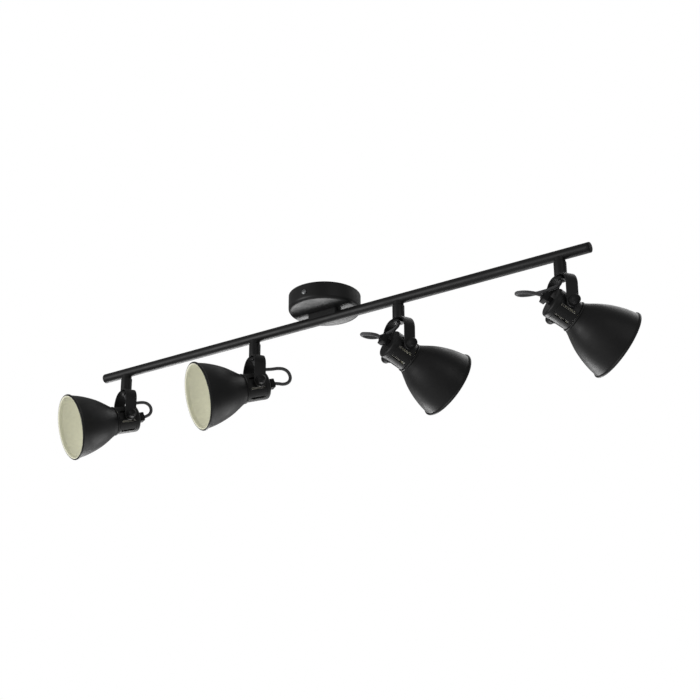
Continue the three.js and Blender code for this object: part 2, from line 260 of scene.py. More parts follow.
def build_wear(nodes: Nodes) -> None:
    """Builds a mask of the edges that handling rubs thin.

    Args:
        nodes: The group's empty tree.
    """
    given, result = sockets(nodes.tree, {"Place": "Vector", "Radius": 0.0006, "Amount": 0.5}, ["Mask"])
    rounded = nodes.add("Bevel", samples=4)
    nodes.feed(rounded, Radius=given.outputs["Radius"])
    true_normal = nodes.add("NewGeometry")
    facing = nodes.add("VectorMath", operation="DOT_PRODUCT")
    nodes.feed(facing, in_0=rounded.outputs["Normal"], in_1=true_normal.outputs["Normal"])
    edge = nodes.mapped(nodes.maths("SUBTRACT", 1.0, facing.outputs["Value"]), 0.01, 0.16)
    broken = nodes.mapped(nodes.noise(given.outputs["Place"], 420.0, 4.0), 0.4, 0.66)
    rubbed = nodes.maths("MULTIPLY", edge, broken)
    amount = nodes.maths("MULTIPLY", rubbed, given.outputs["Amount"])
    nodes.tree.links.new(amount, result.inputs["Mask"])


def build_dust(nodes: Nodes) -> None:
    """Builds a mask of fine dust on the faces that look up.

    Args:
        nodes: The group's empty tree.
    """
    given, result = sockets(nodes.tree, {"Place": "Vector", "Amount": 0.3}, ["Mask"])
    geometry = nodes.add("NewGeometry")
    parts = nodes.add("SeparateXYZ")
    nodes.feed(parts, in_0=geometry.outputs["Normal"])
    upward = nodes.mapped(parts.outputs["Z"], 0.35, 0.95)
    patches = nodes.mapped(nodes.noise(given.outputs["Place"], 60.0, 5.0), 0.36, 0.72, 0.25, 1.0)
    specks = nodes.mapped(nodes.noise(given.outputs["Place"], 2400.0, 2.0), 0.5, 0.7, 0.4, 1.0)
    layer = nodes.maths("MULTIPLY", upward, nodes.maths("MULTIPLY", patches, specks))
    amount = nodes.maths("MULTIPLY", layer, given.outputs["Amount"])
    nodes.tree.links.new(amount, result.inputs["Mask"])


def build_handling(nodes: Nodes) -> None:
    """Builds soft smudges and hairline rubs that change how a surface shines.

    Args:
        nodes: The group's empty tree.
    """
    given, result = sockets(nodes.tree, {"Place": "Vector", "Stretch": 12.0}, ["Smudge", "Scratch"])
    smudge = nodes.mapped(nodes.noise(given.outputs["Place"], 38.0, 3.0), 0.38, 0.64)
    spread = nodes.add("CombineXYZ")
    nodes.feed(spread, X=1.0, Y=given.outputs["Stretch"], Z=given.outputs["Stretch"])
    drawn = nodes.add("VectorMath", operation="MULTIPLY")
    nodes.feed(drawn, in_0=given.outputs["Place"], in_1=spread.outputs[0])
    scratch = nodes.mapped(nodes.noise(drawn.outputs[0], 260.0, 3.0), 0.35, 0.75)
    nodes.tree.links.new(smudge, result.inputs["Smudge"])
    nodes.tree.links.new(scratch, result.inputs["Scratch"])


DUST_COLOUR = (0.32, 0.31, 0.29, 1.0)
DUST_DULLING = 0.35


@dataclass(frozen=True)
class Finish:
    """A surface finish: its colours, how it shines and how its grain stands up."""

    name: str
    slot: str
    colour: Colour
    worn_colour: Colour
    roughness: float
    sheen_range: float = 0.08
    metallic: float = 0.0
    specular: float = 0.5
    coat: float = 0.0
    grain_scale: float = 2600.0
    grain_depth: float = 0.00003
    wear: float = 0.4
    dust: float = 0.25
    tone_shift: float = 0.12
    coat_roughness: float = 0.2

    def effect(self, nodes: Nodes, effect: Effect, **inputs: object) -> bpy.types.Node:
        """Places one shared effect in the material.

        Args:
            nodes: The material's tree.
            effect: Which effect.
            **inputs: Its inputs, as Nodes.feed takes them.

        Returns:
            The group node.
        """
        node = nodes.add("Group")
        node.node_tree = effect.group()
        return nodes.feed(node, **inputs)

    def base(self, nodes: Nodes, place: bpy.types.NodeSocket,
             tone: bpy.types.NodeSocket) -> bpy.types.NodeSocket:
        """Makes the colour before wear and dust.

        Args:
            nodes: The material's tree.
            place: The coordinates on the piece.
            tone: A slow variation between 0 and 1.

        Returns:
            The colour socket.
        """
        lighter = tuple(channel * (1 + self.tone_shift) for channel in self.colour)
        darker = tuple(channel * (1 - self.tone_shift) for channel in self.colour)
        return nodes.mixed(tone, (*darker, 1.0), (*lighter, 1.0))

    def relief(self, nodes: Nodes, grain: bpy.types.Node) -> bpy.types.NodeSocket:
        """Gives the height that the bump follows.

        Args:
            nodes: The material's tree.
            grain: The placed grain effect.

        Returns:
            The height socket.
        """
        return grain.outputs["Height"]

    def material(self) -> bpy.types.Material:
        """Returns the finish's material, built the first time that it is asked for."""
        found = bpy.data.materials.get(self.name)
        if found:
            return found
        material = bpy.data.materials.new(self.name)
        material.use_nodes = True
        nodes = Nodes(material.node_tree)
        shader = material.node_tree.nodes["Principled BSDF"]
        place = nodes.add("TexCoord").outputs["Object"]
        grain = self.effect(nodes, Effect.GRAIN, Place=place, Pebbles_per_metre=self.grain_scale)
        wear = self.effect(nodes, Effect.WEAR, Place=place, Amount=self.wear)
        dust = self.effect(nodes, Effect.DUST, Place=place, Amount=self.dust)
        marks = self.effect(nodes, Effect.HANDLING, Place=place)
        worn = nodes.mixed(wear.outputs["Mask"], self.base(nodes, place, grain.outputs["Tone"]),
                           (*self.worn_colour, 1.0))
        dusty = nodes.mixed(dust.outputs["Mask"], worn, DUST_COLOUR)
        gloss = nodes.mapped(marks.outputs["Smudge"], 0.0, 1.0, self.roughness - self.sheen_range / 2,
                             self.roughness + self.sheen_range / 2)
        hairs = nodes.maths("MULTIPLY_ADD", marks.outputs["Scratch"], self.sheen_range / 3, gloss)
        dulled = nodes.maths("MULTIPLY_ADD", dust.outputs["Mask"], DUST_DULLING, hairs)
        bump = nodes.add("Bump")
        nodes.feed(bump, Strength=1.0, Distance=self.grain_depth, Height=self.relief(nodes, grain))
        nodes.feed(shader, Base_Color=dusty, Roughness=dulled, Metallic=self.metallic,
                   Normal=bump.outputs["Normal"], Specular_IOR_Level=self.specular, Coat_Weight=self.coat,
                   Coat_Roughness=self.coat_roughness)
        return material


@dataclass(frozen=True)
class BraidFinish(Finish):
    """A woven sleeve with a soft sheen, painted lighter on the raised strands as a painted highlight and
    darker between them as painted shade.
    """

    # The lighter colour, painted on the raised strands as a highlight.
    crest_highlight_colour: Colour = (0.11, 0.11, 0.113)

    def base(self, nodes: Nodes, place: bpy.types.NodeSocket,
             tone: bpy.types.NodeSocket) -> bpy.types.NodeSocket:
        """Makes the colour from the strand heights that the cord's mesh carries: painted highlight on the
        raised strands, painted shade in the dips between them.

        Args:
            nodes: The material's tree.
            place: The coordinates on the piece.
            tone: A slow variation between 0 and 1.

        Returns:
            The colour socket.
        """
        # Painted highlight and shade: the raised strands take the lighter colour and the dips between them
        # the darker one, by height alone.
        strand = nodes.add("Attribute", attribute_name="strand_height").outputs["Fac"]
        fibres = nodes.mapped(nodes.noise(place, 5200.0, 2.0), 0.35, 0.65, 0.55, 1.0)
        lit = nodes.maths("MULTIPLY", nodes.mapped(strand, 0.1, 0.85), fibres)
        return nodes.mixed(lit, (*self.colour, 1.0), (*self.crest_highlight_colour, 1.0))


@dataclass(frozen=True)
class BrushedFinish(Finish):
    """Plated steel, with fine drawn lines and a colour that drifts a little."""

    def relief(self, nodes: Nodes, grain: bpy.types.Node) -> bpy.types.NodeSocket:
        """Gives the height of the drawn lines.

        Args:
            nodes: The material's tree.
            grain: The placed grain effect.

        Returns:
            The height socket.
        """
        place = nodes.add("TexCoord").outputs["Object"]
        marks = self.effect(nodes, Effect.HANDLING, Place=place, Stretch=30.0)
        return nodes.maths("MULTIPLY_ADD", marks.outputs["Scratch"], 1.5, grain.outputs["Height"])


BLACK_COAT = Finish("black_powder_coat", "black_coat", (0.0062, 0.0062, 0.0064), (0.020, 0.020, 0.021), 0.46,
                    sheen_range=0.1, specular=0.24, grain_depth=0.000035, wear=0.35, dust=0.07)
CREAM_ENAMEL = Finish("cream_enamel", "shade_enamel", (0.76, 0.752, 0.60), (0.6, 0.58, 0.48), 0.55,
                      specular=0.4, grain_scale=1400.0, grain_depth=0.00003, wear=0.1, dust=0.04,
                      tone_shift=0.03)
BLACK_PLASTIC = Finish("black_moulded_plastic", "black_plastic", (0.0062, 0.0062, 0.0064),
                       (0.018, 0.018, 0.018), 0.58, specular=0.16, grain_scale=3400.0, grain_depth=0.00002,
                       wear=0.3, dust=0.05)
BRAIDED_SLEEVE = BraidFinish("braided_sleeve", "cord_braid", (0.022, 0.022, 0.023), (0.1, 0.1, 0.1), 0.72,
                             specular=0.35, grain_scale=6500.0, grain_depth=0.00004, wear=0.0, dust=0.1)
ZINC_STEEL = BrushedFinish("zinc_plated_steel", "zinc_steel", (0.24, 0.245, 0.25), (0.4, 0.4, 0.4), 0.42,
                           metallic=1.0, grain_depth=0.00001, wear=0.3, dust=0.1, tone_shift=0.06)
BRASS = BrushedFinish("plain_brass", "brass_fitting", (0.66, 0.48, 0.19), (0.8, 0.65, 0.35), 0.3,
                      metallic=1.0, grain_depth=0.00001, wear=0.3, dust=0.1, tone_shift=0.06)
IVORY_PLASTIC = Finish("ivory_terminal_plastic", "terminal_plastic", (0.72, 0.69, 0.58),
                       (0.6, 0.58, 0.5), 0.45, grain_depth=0.00001, wear=0.1, dust=0.15, tone_shift=0.03)
BLACK_SLEEVE = Finish("wire_sleeve", "wire_sleeve", (0.025, 0.025, 0.025), (0.05, 0.05, 0.05), 0.55,
                      grain_depth=0.00001, wear=0.1, dust=0.1)
WHITE_CERAMIC = Finish("glazed_ceramic", "ceramic", (0.74, 0.72, 0.66), (0.6, 0.58, 0.52), 0.3,
                       coat=0.4, grain_scale=1500.0, grain_depth=0.00002, wear=0.1, dust=0.05,
                       tone_shift=0.03)
LAMP_WHITE = Finish("lamp_white", "lamp_body", (0.78, 0.78, 0.76), (0.6, 0.6, 0.58), 0.35,
                    grain_scale=1800.0, grain_depth=0.00001, wear=0.05, dust=0.03, tone_shift=0.02)
FROSTED_LENS = Finish("frosted_lens", "lamp_body", (0.7, 0.71, 0.7), (0.6, 0.6, 0.6), 0.55,
                      grain_scale=3800.0, grain_depth=0.00005, wear=0.0, dust=0.03, tone_shift=0.02)


# ---- outlines and forms -------------------------------------------------------------------------
class Axis(Enum):
    """The direction that a piece is turned about."""

    X = "x"
    Y = "y"
    Z = "z"

    def point(self, along: float, radius: float, angle: float) -> Vector:
        """Gives a point at a distance along the axis, a radius and an angle round it."""
        across, up = radius * math.cos(angle), radius * math.sin(angle)
        places = {Axis.X: (along, across, up), Axis.Y: (up, along, across), Axis.Z: (across, up, along)}
        return Vector(places[self])


def softened(corners: Sequence[tuple[float, float, float]], steps: int = 5,
             closed: bool = False) -> list[Spot]:
    """Rounds the corners of an outline.

    Args:
        corners: Each corner's two coordinates and its own rounding radius.
        steps: How many lengths each rounding is drawn in.
        closed: Whether the outline joins up, so that its first and last corners are rounded too.

    Returns:
        The rounded outline's points.
    """
    outline: list[Spot] = []
    count = len(corners)
    for place, (along, radius, rounding) in enumerate(corners):
        at_end = not closed and place in (0, count - 1)
        if rounding <= 0 or at_end:
            outline.append((along, radius))
            continue
        here = Vector((along, radius))
        back = Vector(corners[place - 1][:2]) - here
        ahead = Vector(corners[(place + 1) % count][:2]) - here
        half = back.angle(ahead) / 2
        reach = min(rounding / math.tan(half), 0.49 * back.length, 0.49 * ahead.length)
        bend = reach * math.tan(half)
        centre = here + (back.normalized() + ahead.normalized()).normalized() * (bend / math.sin(half))
        start = here + back.normalized() * reach - centre
        end = here + ahead.normalized() * reach - centre
        sweep = math.atan2(start.x * end.y - start.y * end.x, start.dot(end))
        for step in range(steps + 1):
            angle = sweep * step / steps
            outline.append((centre.x + start.x * math.cos(angle) - start.y * math.sin(angle),
                            centre.y + start.x * math.sin(angle) + start.y * math.cos(angle)))
    return outline


def arc(centre: Spot, radius: float, start: float, end: float, steps: int) -> list[Spot]:
    """Draws part of a circle.

    Args:
        centre: The circle's middle.
        radius: Its radius.
        start: The first angle, in degrees.
        end: The last angle, in degrees.
        steps: How many lengths it is drawn in.

    Returns:
        The points of the arc.
    """
    angles = [math.radians(start + (end - start) * step / steps) for step in range(steps + 1)]
    return [(centre[0] + radius * math.cos(angle), centre[1] + radius * math.sin(angle)) for angle in angles]


def flowing(knots: Sequence[Vector], per_span: int) -> list[Vector]:
    """Draws a smooth centripetal curve through points.

    Args:
        knots: The points to pass through.
        per_span: How many lengths each span between two points is drawn in.

    Returns:
        The curve's points, the first and last knots among them.
    """
    padded = [2 * knots[0] - knots[1], *knots, 2 * knots[-1] - knots[-2]]
    curve: list[Vector] = []
    for a, b, c, d in zip(padded, padded[1:], padded[2:], padded[3:]):
        before, span, after = math.sqrt((b - a).length), math.sqrt((c - b).length), math.sqrt((d - c).length)
        leaving = ((b - a) / before - (c - a) / (before + span) + (c - b) / span) * span
        arriving = ((c - b) / span - (d - b) / (span + after) + (d - c) / after) * span
        for step in range(per_span):
            t = step / per_span
            curve.append(b * (2 * t**3 - 3 * t**2 + 1) + leaving * (t**3 - 2 * t**2 + t)
                         + c * (3 * t**2 - 2 * t**3) + arriving * (t**3 - t**2))
    return [*curve, knots[-1].copy()]


class Form:
    """A mesh being made: its points, its faces and the number of each face's finish."""

    def __init__(self) -> None:
        """Starts with nothing in it."""
        self.points: list[Vector] = []
        self.faces: list[tuple[int, ...]] = []
        self.finish_of: list[int] = []

    def ring(self, points: Iterable[Vector]) -> list[int]:
        """Adds points and returns their numbers."""
        start = len(self.points)
        self.points.extend(points)
        return list(range(start, len(self.points)))

    def face(self, corners: Sequence[int], finish: int = 0) -> None:
        """Adds one face, unless its corners fall together.

        Args:
            corners: The numbers of its points, in order.
            finish: The number of its finish.
        """
        distinct = tuple(dict.fromkeys(corners))
        if len(distinct) > 2:
            self.faces.append(distinct)
            self.finish_of.append(finish)

    def bridge(self, first: Sequence[int], second: Sequence[int], finish: int = 0,
               closed: bool = True) -> None:
        """Joins two rows of points with faces.

        Args:
            first: The first row's point numbers.
            second: The second row's point numbers, as many.
            finish: The number of the faces' finish.
            closed: Whether the rows are rings.
        """
        count = len(first)
        for here in range(count if closed else count - 1):
            after = (here + 1) % count
            self.face((first[here], first[after], second[after], second[here]), finish)

    def turn(self, profile: Sequence[Spot], axis: Axis, sides: int, closed: bool = False,
             finishes: Sequence[int] = ()) -> "Form":
        """Turns a profile about an axis.

        Args:
            profile: Points of (along the axis, radius).
            axis: The axis.
            sides: How many sides the turned surface has.
            closed: Whether the profile joins up with itself.
            finishes: The finish number of each length of the profile, or nothing for all 0.

        Returns:
            This form.
        """
        rings = []
        for along, radius in profile:
            if radius < WELD:
                rings.append(self.ring([axis.point(along, 0.0, 0.0)]) * sides)
            else:
                rings.append(self.ring(axis.point(along, radius, TURN * k / sides) for k in range(sides)))
        pairs = list(zip(rings, rings[1:]))
        if closed:
            pairs.append((rings[-1], rings[0]))
        for place, (first, second) in enumerate(pairs):
            self.bridge(first, second, finishes[place] if place < len(finishes) else 0)
        return self

    def loft(self, sections: Sequence[Sequence[Vector]], capped: bool = True) -> "Form":
        """Joins closed sections one after another.

        Args:
            sections: The sections, each with as many points.
            capped: Whether the first and last are closed with a face.

        Returns:
            This form.
        """
        rings = [self.ring(section) for section in sections]
        for first, second in zip(rings, rings[1:]):
            self.bridge(first, second)
        if capped:
            self.face(rings[0])
            self.face(rings[-1])
        return self

    def prism(self, outline: Sequence[Spot], low: float, high: float, axis: Axis) -> "Form":
        """Stands an outline up into a closed prism.

        Args:
            outline: Points across the axis, in the axis's own (second, third) directions.
            low: Where it starts along the axis.
            high: Where it ends along the axis.
            axis: The axis.

        Returns:
            This form.
        """
        angles = [(math.hypot(a, b), math.atan2(b, a)) for a, b in outline]
        return self.loft([[axis.point(along, radius, angle) for radius, angle in angles]
                          for along in (low, high)])

    def holed(self, outer: Sequence[Spot], inner: Sequence[Spot], rows: int,
              lay: Callable[[Spot], Vector]) -> None:
        """Fills the flat band between an outline and the hole in it, and lays it on a surface.

        Args:
            outer: The outline's points.
            inner: The hole's points, as many.
            rows: How many rows of faces there are between them.
            lay: Takes a flat point to its place.
        """
        rings = []
        for row in range(rows + 1):
            share = row / rows
            flat = [(a[0] * (1 - share) + b[0] * share, a[1] * (1 - share) + b[1] * share)
                    for a, b in zip(outer, inner)]
            rings.append(self.ring(lay(spot) for spot in flat))
        for first, second in zip(rings, rings[1:]):
            self.bridge(first, second)

    def sheet(self, along: Sequence[float], across: Sequence[float], lay: Callable[[Spot], Vector]) -> None:
        """Fills a flat rectangle with rows of faces, and lays it on a surface.

        Args:
            along: The places of its rows.
            across: The places of its columns.
            lay: Takes a flat point to its place.
        """
        rows = [self.ring(lay((u, v)) for v in across) for u in along]
        for first, second in zip(rows, rows[1:]):
            self.bridge(first, second, closed=False)

    def placed(self, matrix: Matrix) -> "Form":
        """Moves the form by a matrix and returns it."""
        self.points = [matrix @ point for point in self.points]
        return self

    def joined(self, other: "Form") -> "Form":
        """Takes in another form's points and faces and returns this one."""
        start = len(self.points)
        self.points.extend(other.points)
        self.faces.extend(tuple(start + corner for corner in face) for face in other.faces)
        self.finish_of.extend(other.finish_of)
        return self

    def piece(self, name: str, *finishes: Finish, crease: float = 38.0) -> bpy.types.Object:
        """Makes the form's object, welded, facing outward and smooth but for its creases.

        Args:
            name: The object's name.
            *finishes: Its finishes, in the order of their numbers.
            crease: The angle above which an edge stays sharp, in degrees.

        Returns:
            The object, linked to the scene.
        """
        mesh = bpy.data.meshes.new(name)
        mesh.from_pydata(self.points, [], self.faces)
        for finish in finishes:
            mesh.materials.append(finish.material())
        mesh.polygons.foreach_set("material_index", self.finish_of)
        work = bmesh.new()
        work.from_mesh(mesh)
        bmesh.ops.remove_doubles(work, verts=work.verts, dist=WELD)
        bmesh.ops.recalc_face_normals(work, faces=work.faces)
        work.to_mesh(mesh)
        work.free()
        smooth(mesh, crease)
        made = bpy.data.objects.new(name, mesh)
        bpy.context.scene.collection.objects.link(made)
        return made


def smooth(mesh: bpy.types.Mesh, crease: float) -> None:
    """Shades a mesh smooth, with sharp edges above an angle.

    Args:
        mesh: The mesh.
        crease: The angle in degrees.
    """
    mesh.polygons.foreach_set("use_smooth", [True] * len(mesh.polygons))
    mesh.set_sharp_from_angle(angle=math.radians(crease))
    mesh.update()


def settle(piece: bpy.types.Object, crease: float = 38.0) -> None:
    """Applies a piece's modifiers to its mesh.

    Args:
        piece: The piece.
        crease: The angle above which an edge stays sharp, in degrees.
    """
    bpy.context.view_layer.update()
    graph = bpy.context.evaluated_depsgraph_get()
    mesh = bpy.data.meshes.new_from_object(piece.evaluated_get(graph), depsgraph=graph)
    old = piece.data
    piece.modifiers.clear()
    piece.data = mesh
    mesh.name = piece.name
    bpy.data.meshes.remove(old)
    smooth(mesh, crease)


def carve(piece: bpy.types.Object, *cutters: Form) -> None:
    """Cuts forms out of a piece.

    Args:
        piece: The piece to cut.
        *cutters: Closed forms that take material away.
    """
    tools = [cutter.piece(f"cutter_{place}") for place, cutter in enumerate(cutters)]
    for tool in tools:
        cut = piece.modifiers.new("cut", "BOOLEAN")
        cut.operation = "DIFFERENCE"
        cut.solver = "EXACT"
        cut.object = tool
    settle(piece)
    for tool in tools:
        bpy.data.meshes.remove(tool.data)


def ease_edges(piece: bpy.types.Object, width: float, steps: int = 2, angle: float = 40.0) -> None:
    """Rounds a piece's sharp edges by a small bevel and keeps its flats flat.

    Args:
        piece: The piece.
        width: The bevel's width.
        steps: How many faces cross the bevel.
        angle: Edges sharper than this are eased, in degrees.
    """
    bevel = piece.modifiers.new("eased_edges", "BEVEL")
    bevel.width = width
    bevel.segments = steps
    bevel.limit_method = "ANGLE"
    bevel.angle_limit = math.radians(angle)
    bevel.miter_outer = "MITER_ARC"
    settle(piece, 60.0)
    flats = piece.modifiers.new("flat_faces", "WEIGHTED_NORMAL")
    flats.keep_sharp = True


def thicken(piece: bpy.types.Object, thickness: float) -> None:
    """Gives a sheet its thickness, inward from the surface that it was laid on.

    Args:
        piece: The sheet, whose faces look outward.
        thickness: How thick it becomes.
    """
    wall = piece.modifiers.new("wall", "SOLIDIFY")
    wall.thickness = thickness
    wall.offset = -1.0
    wall.use_even_offset = True
    settle(piece)


def rectangle(half_x: float, half_y: float, rounding: float, steps: int = 5) -> list[Spot]:
    """Draws a rectangle with round corners about the origin.

    Args:
        half_x: Half its first side.
        half_y: Half its second side.
        rounding: The corner radius.
        steps: How many lengths each corner is drawn in.

    Returns:
        The outline's points.
    """
    corners = [(half_x, half_y), (-half_x, half_y), (-half_x, -half_y), (half_x, -half_y)]
    return softened([(x, y, rounding) for x, y in corners], steps, closed=True)


def rod(radius: float, low: float, high: float, axis: Axis, sides: int = 32) -> Form:
    """Makes a plain round cutter.

    Args:
        radius: Its radius.
        low: Where it starts along the axis.
        high: Where it ends along the axis.
        axis: The axis.
        sides: How many sides it has.

    Returns:
        The form.
    """
    return Form().turn([(low, 0.0), (low, radius), (high, radius), (high, 0.0)], axis, sides)


def block(x: Spot, y: Spot, z: Spot) -> Form:
    """Makes a plain square cutter.

    Args:
        x: The two places along X that it lies between.
        y: The two places along Y.
        z: The two places along Z, the lower one first.

    Returns:
        The form.
    """
    corners = [(x[0], y[0]), (x[1], y[0]), (x[1], y[1]), (x[0], y[1])]
    return Form().loft([[Vector((a, b, c)) for a, b in corners] for c in z])


def show(piece: bpy.types.Object, body: str, finish: Finish, *nodes: str) -> bpy.types.Object:
    """Makes a piece ride on its body, in place of its nodes.

    Args:
        piece: The piece, in its place.
        body: The body that it moves with.
        finish: Not used.
        *nodes: The nodes of the frame that it stands for.

    Returns:
        The piece.
    """
    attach(piece, body)
    if nodes:
        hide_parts(*nodes)
    LOG.info("%s rides on %s with %d faces", piece.name, body, len(piece.data.polygons))
    return piece


# ---- where the frame puts things ----------------------------------------------------------------
@dataclass(frozen=True)
class HeadPlace:
    """Where one lamp head hangs: its pivot, the way it faces and how far it tips down."""

    number: int
    pivot: Vector
    azimuth: float
    tilt: float

    @classmethod
    def from_frame(cls, number: int) -> "HeadPlace":
        """Reads a head's place from its tilt joint, whose upper limit is the lowest tilt.

        Args:
            number: The head's number, from 1 at the left.

        Returns:
            The place.
        """
        joint = next(joint for joint in frame["joints"] if joint["name"] == f"tilt_{number}")
        across = Vector(joint["axis"])
        tilt = math.radians(LOWEST_TILT - joint["range_deg"][1])
        return cls(number, Vector(joint["pos_m"]), math.atan2(-across.x, across.y), tilt)

    @property
    def yoke(self) -> Matrix:
        """The yoke's own frame: forward along X, the pivot axis along Y."""
        return Matrix.Translation(self.pivot) @ Matrix.Rotation(self.azimuth, 4, "Z")

    @property
    def head(self) -> Matrix:
        """The head's own frame: the mouth towards X, the pivot axis along Y."""
        return self.yoke @ Matrix.Rotation(self.tilt, 4, "Y")


PLACES = [HeadPlace.from_frame(number) for number in range(1, 5)]


# ---- cords --------------------------------------------------------------------------------------
# Each cord's route is (forward, left, up) from the pivot in the yoke's frame: out of the gland, back
# in a loose loop, then in over the housing and up into the hollow swivel bolt.
CORD_IN_BOLT = [(0, 0, 0.0412), (0, 0, 0.0484), (0, 0, 0.0600)]
CORD_ROUTES = {
    1: [
        (-0.0350, 0, 0.0121), (-0.0386, 0, 0.0151), (-0.0407, 0, 0.0194),
        (-0.0408, 0, 0.0242), (-0.0386, 0, 0.0286), (-0.0346, 0, 0.0314),
        (-0.0298, 0, 0.0323), (-0.0238, 0, 0.0314), (-0.0175, 0, 0.0296),
        (-0.0110, 0, 0.0284), (-0.0069, 0, 0.0292), (-0.0032, 0, 0.0316),
        (-0.0008, 0, 0.0353),
    ],
    2: [
        (-0.0368, 0, 0.0104), (-0.0426, 0, 0.0106), (-0.0480, 0, 0.0124),
        (-0.0522, 0, 0.0162), (-0.0538, 0, 0.0216), (-0.0524, 0, 0.0272),
        (-0.0486, 0, 0.0316), (-0.0430, 0, 0.0338), (-0.0350, 0, 0.0334),
        (-0.0260, 0, 0.0310), (-0.0175, 0, 0.0292), (-0.0110, 0, 0.0284),
        (-0.0069, 0, 0.0292), (-0.0032, 0, 0.0316), (-0.0008, 0, 0.0353),
    ],
    3: [
        (-0.0346, 0, 0.0144), (-0.0388, 0.0002, 0.0146), (-0.0438, 0.0016, 0.0148),
        (-0.0478, 0.0054, 0.0156), (-0.0494, 0.0108, 0.0172), (-0.0478, 0.0162, 0.0186),
        (-0.0436, 0.0202, 0.0196), (-0.0376, 0.0214, 0.0194), (-0.0304, 0.0196, 0.0192),
        (-0.0228, 0.0156, 0.0202), (-0.0156, 0.0106, 0.0230), (-0.0094, 0.0054, 0.0270),
        (-0.0043, 0.0017, 0.0314), (-0.0011, 0.0002, 0.0360),
    ],
    4: [
        (-0.0360, 0, 0.0155), (-0.0420, 0, 0.0156), (-0.0474, 0.0005, 0.0156),
        (-0.0518, 0.0024, 0.0159), (-0.0552, 0.0062, 0.0167), (-0.0564, 0.0112, 0.0180),
        (-0.0550, 0.0164, 0.0193), (-0.0508, 0.0204, 0.0204), (-0.0446, 0.0216, 0.0212),
        (-0.0364, 0.0196, 0.0223), (-0.0278, 0.0152, 0.0238), (-0.0196, 0.0098, 0.0256),
        (-0.0122, 0.0048, 0.0278), (-0.0061, 0.0013, 0.0308), (-0.0017, 0.0001, 0.0352),
    ],
}


@dataclass(frozen=True)
class BraidedCord:
    """A limp lead in a braided sleeve, from the head's gland to the hollow bolt."""

    diameter: float = 0.0048
    gland_end: float = -0.0330
    strands: int = 8
    strand_pitch: float = 0.0021
    strand_depth: float = 0.00022
    sides: int = 40
    step: float = 0.00035

    def line(self, place: HeadPlace) -> list[Vector]:
        """Follows the route in the row frame, with points evenly spaced.

        Args:
            place: The head's place.

        Returns:
            The points of the centreline.
        """
        first = (self.gland_end * math.cos(place.tilt), 0, -self.gland_end * math.sin(place.tilt))
        knots = [Vector(knot) for knot in (first, *CORD_ROUTES[place.number], *CORD_IN_BOLT)]
        rough = flowing(knots, 24)
        spaced = [rough[0]]
        for point in rough[1:]:
            while (point - spaced[-1]).length > self.step:
                spaced.append(spaced[-1] + (point - spaced[-1]).normalized() * self.step)
        return [place.yoke @ point for point in spaced]

    def build(self, place: HeadPlace) -> bpy.types.Object:
        """Sweeps the braid along the route.

        Args:
            place: The head's place.

        Returns:
            The cord, which runs from the head's gland up into the hollow bolt.
        """
        line = self.line(place)
        form = Form()
        heights: list[float] = []
        radius = self.diameter / 2
        side = (line[1] - line[0]).orthogonal().normalized()
        rings = []
        for number, point in enumerate(line):
            ahead = (line[min(number + 1, len(line) - 1)] - line[max(number - 1, 0)]).normalized()
            side = (side - ahead * side.dot(ahead)).normalized()
            up = ahead.cross(side)
            spots = []
            for k in range(self.sides):
                angle = TURN * k / self.sides
                height = self.strand_height(k / self.sides, number * self.step)
                heights.append(height)
                reach = radius - self.strand_depth * (1 - height)
                spots.append(point + (side * math.cos(angle) + up * math.sin(angle)) * reach)
            rings.append(form.ring(spots))
        for first, second in zip(rings, rings[1:]):
            form.bridge(first, second)
        form.face(rings[0])
        form.face(rings[-1])
        cord = form.piece(f"cord_sleeve_{place.number}", BRAIDED_SLEEVE, crease=80.0)
        # The strand heights also set the braid's painted highlight on the crests and painted shade between
        # the strands.
        strand = cord.data.attributes.new("strand_height", "FLOAT", "POINT")
        strand.data.foreach_set("value", heights)
        return self.hang(cord, place)

    def strand_height(self, around: float, along: float) -> float:
        """Gives how far the sleeve stands up where two strands cross, from 0 to 1.

        Args:
            around: The share of a turn round the cord.
            along: The distance along it.

        Returns:
            The height.
        """
        one = math.sin(math.pi * (self.strands * around + along / self.strand_pitch))
        other = math.sin(math.pi * (self.strands * around - along / self.strand_pitch))
        return math.sqrt(abs(one * other))

    def hang(self, cord: bpy.types.Object, place: HeadPlace) -> bpy.types.Object:
        """Args:
            cord: The swept mesh.
            place: The head's place.

        Returns:
            The cord.
        """
        number = place.number
        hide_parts(f"cord_{number}")
        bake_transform(cord)
        return cord


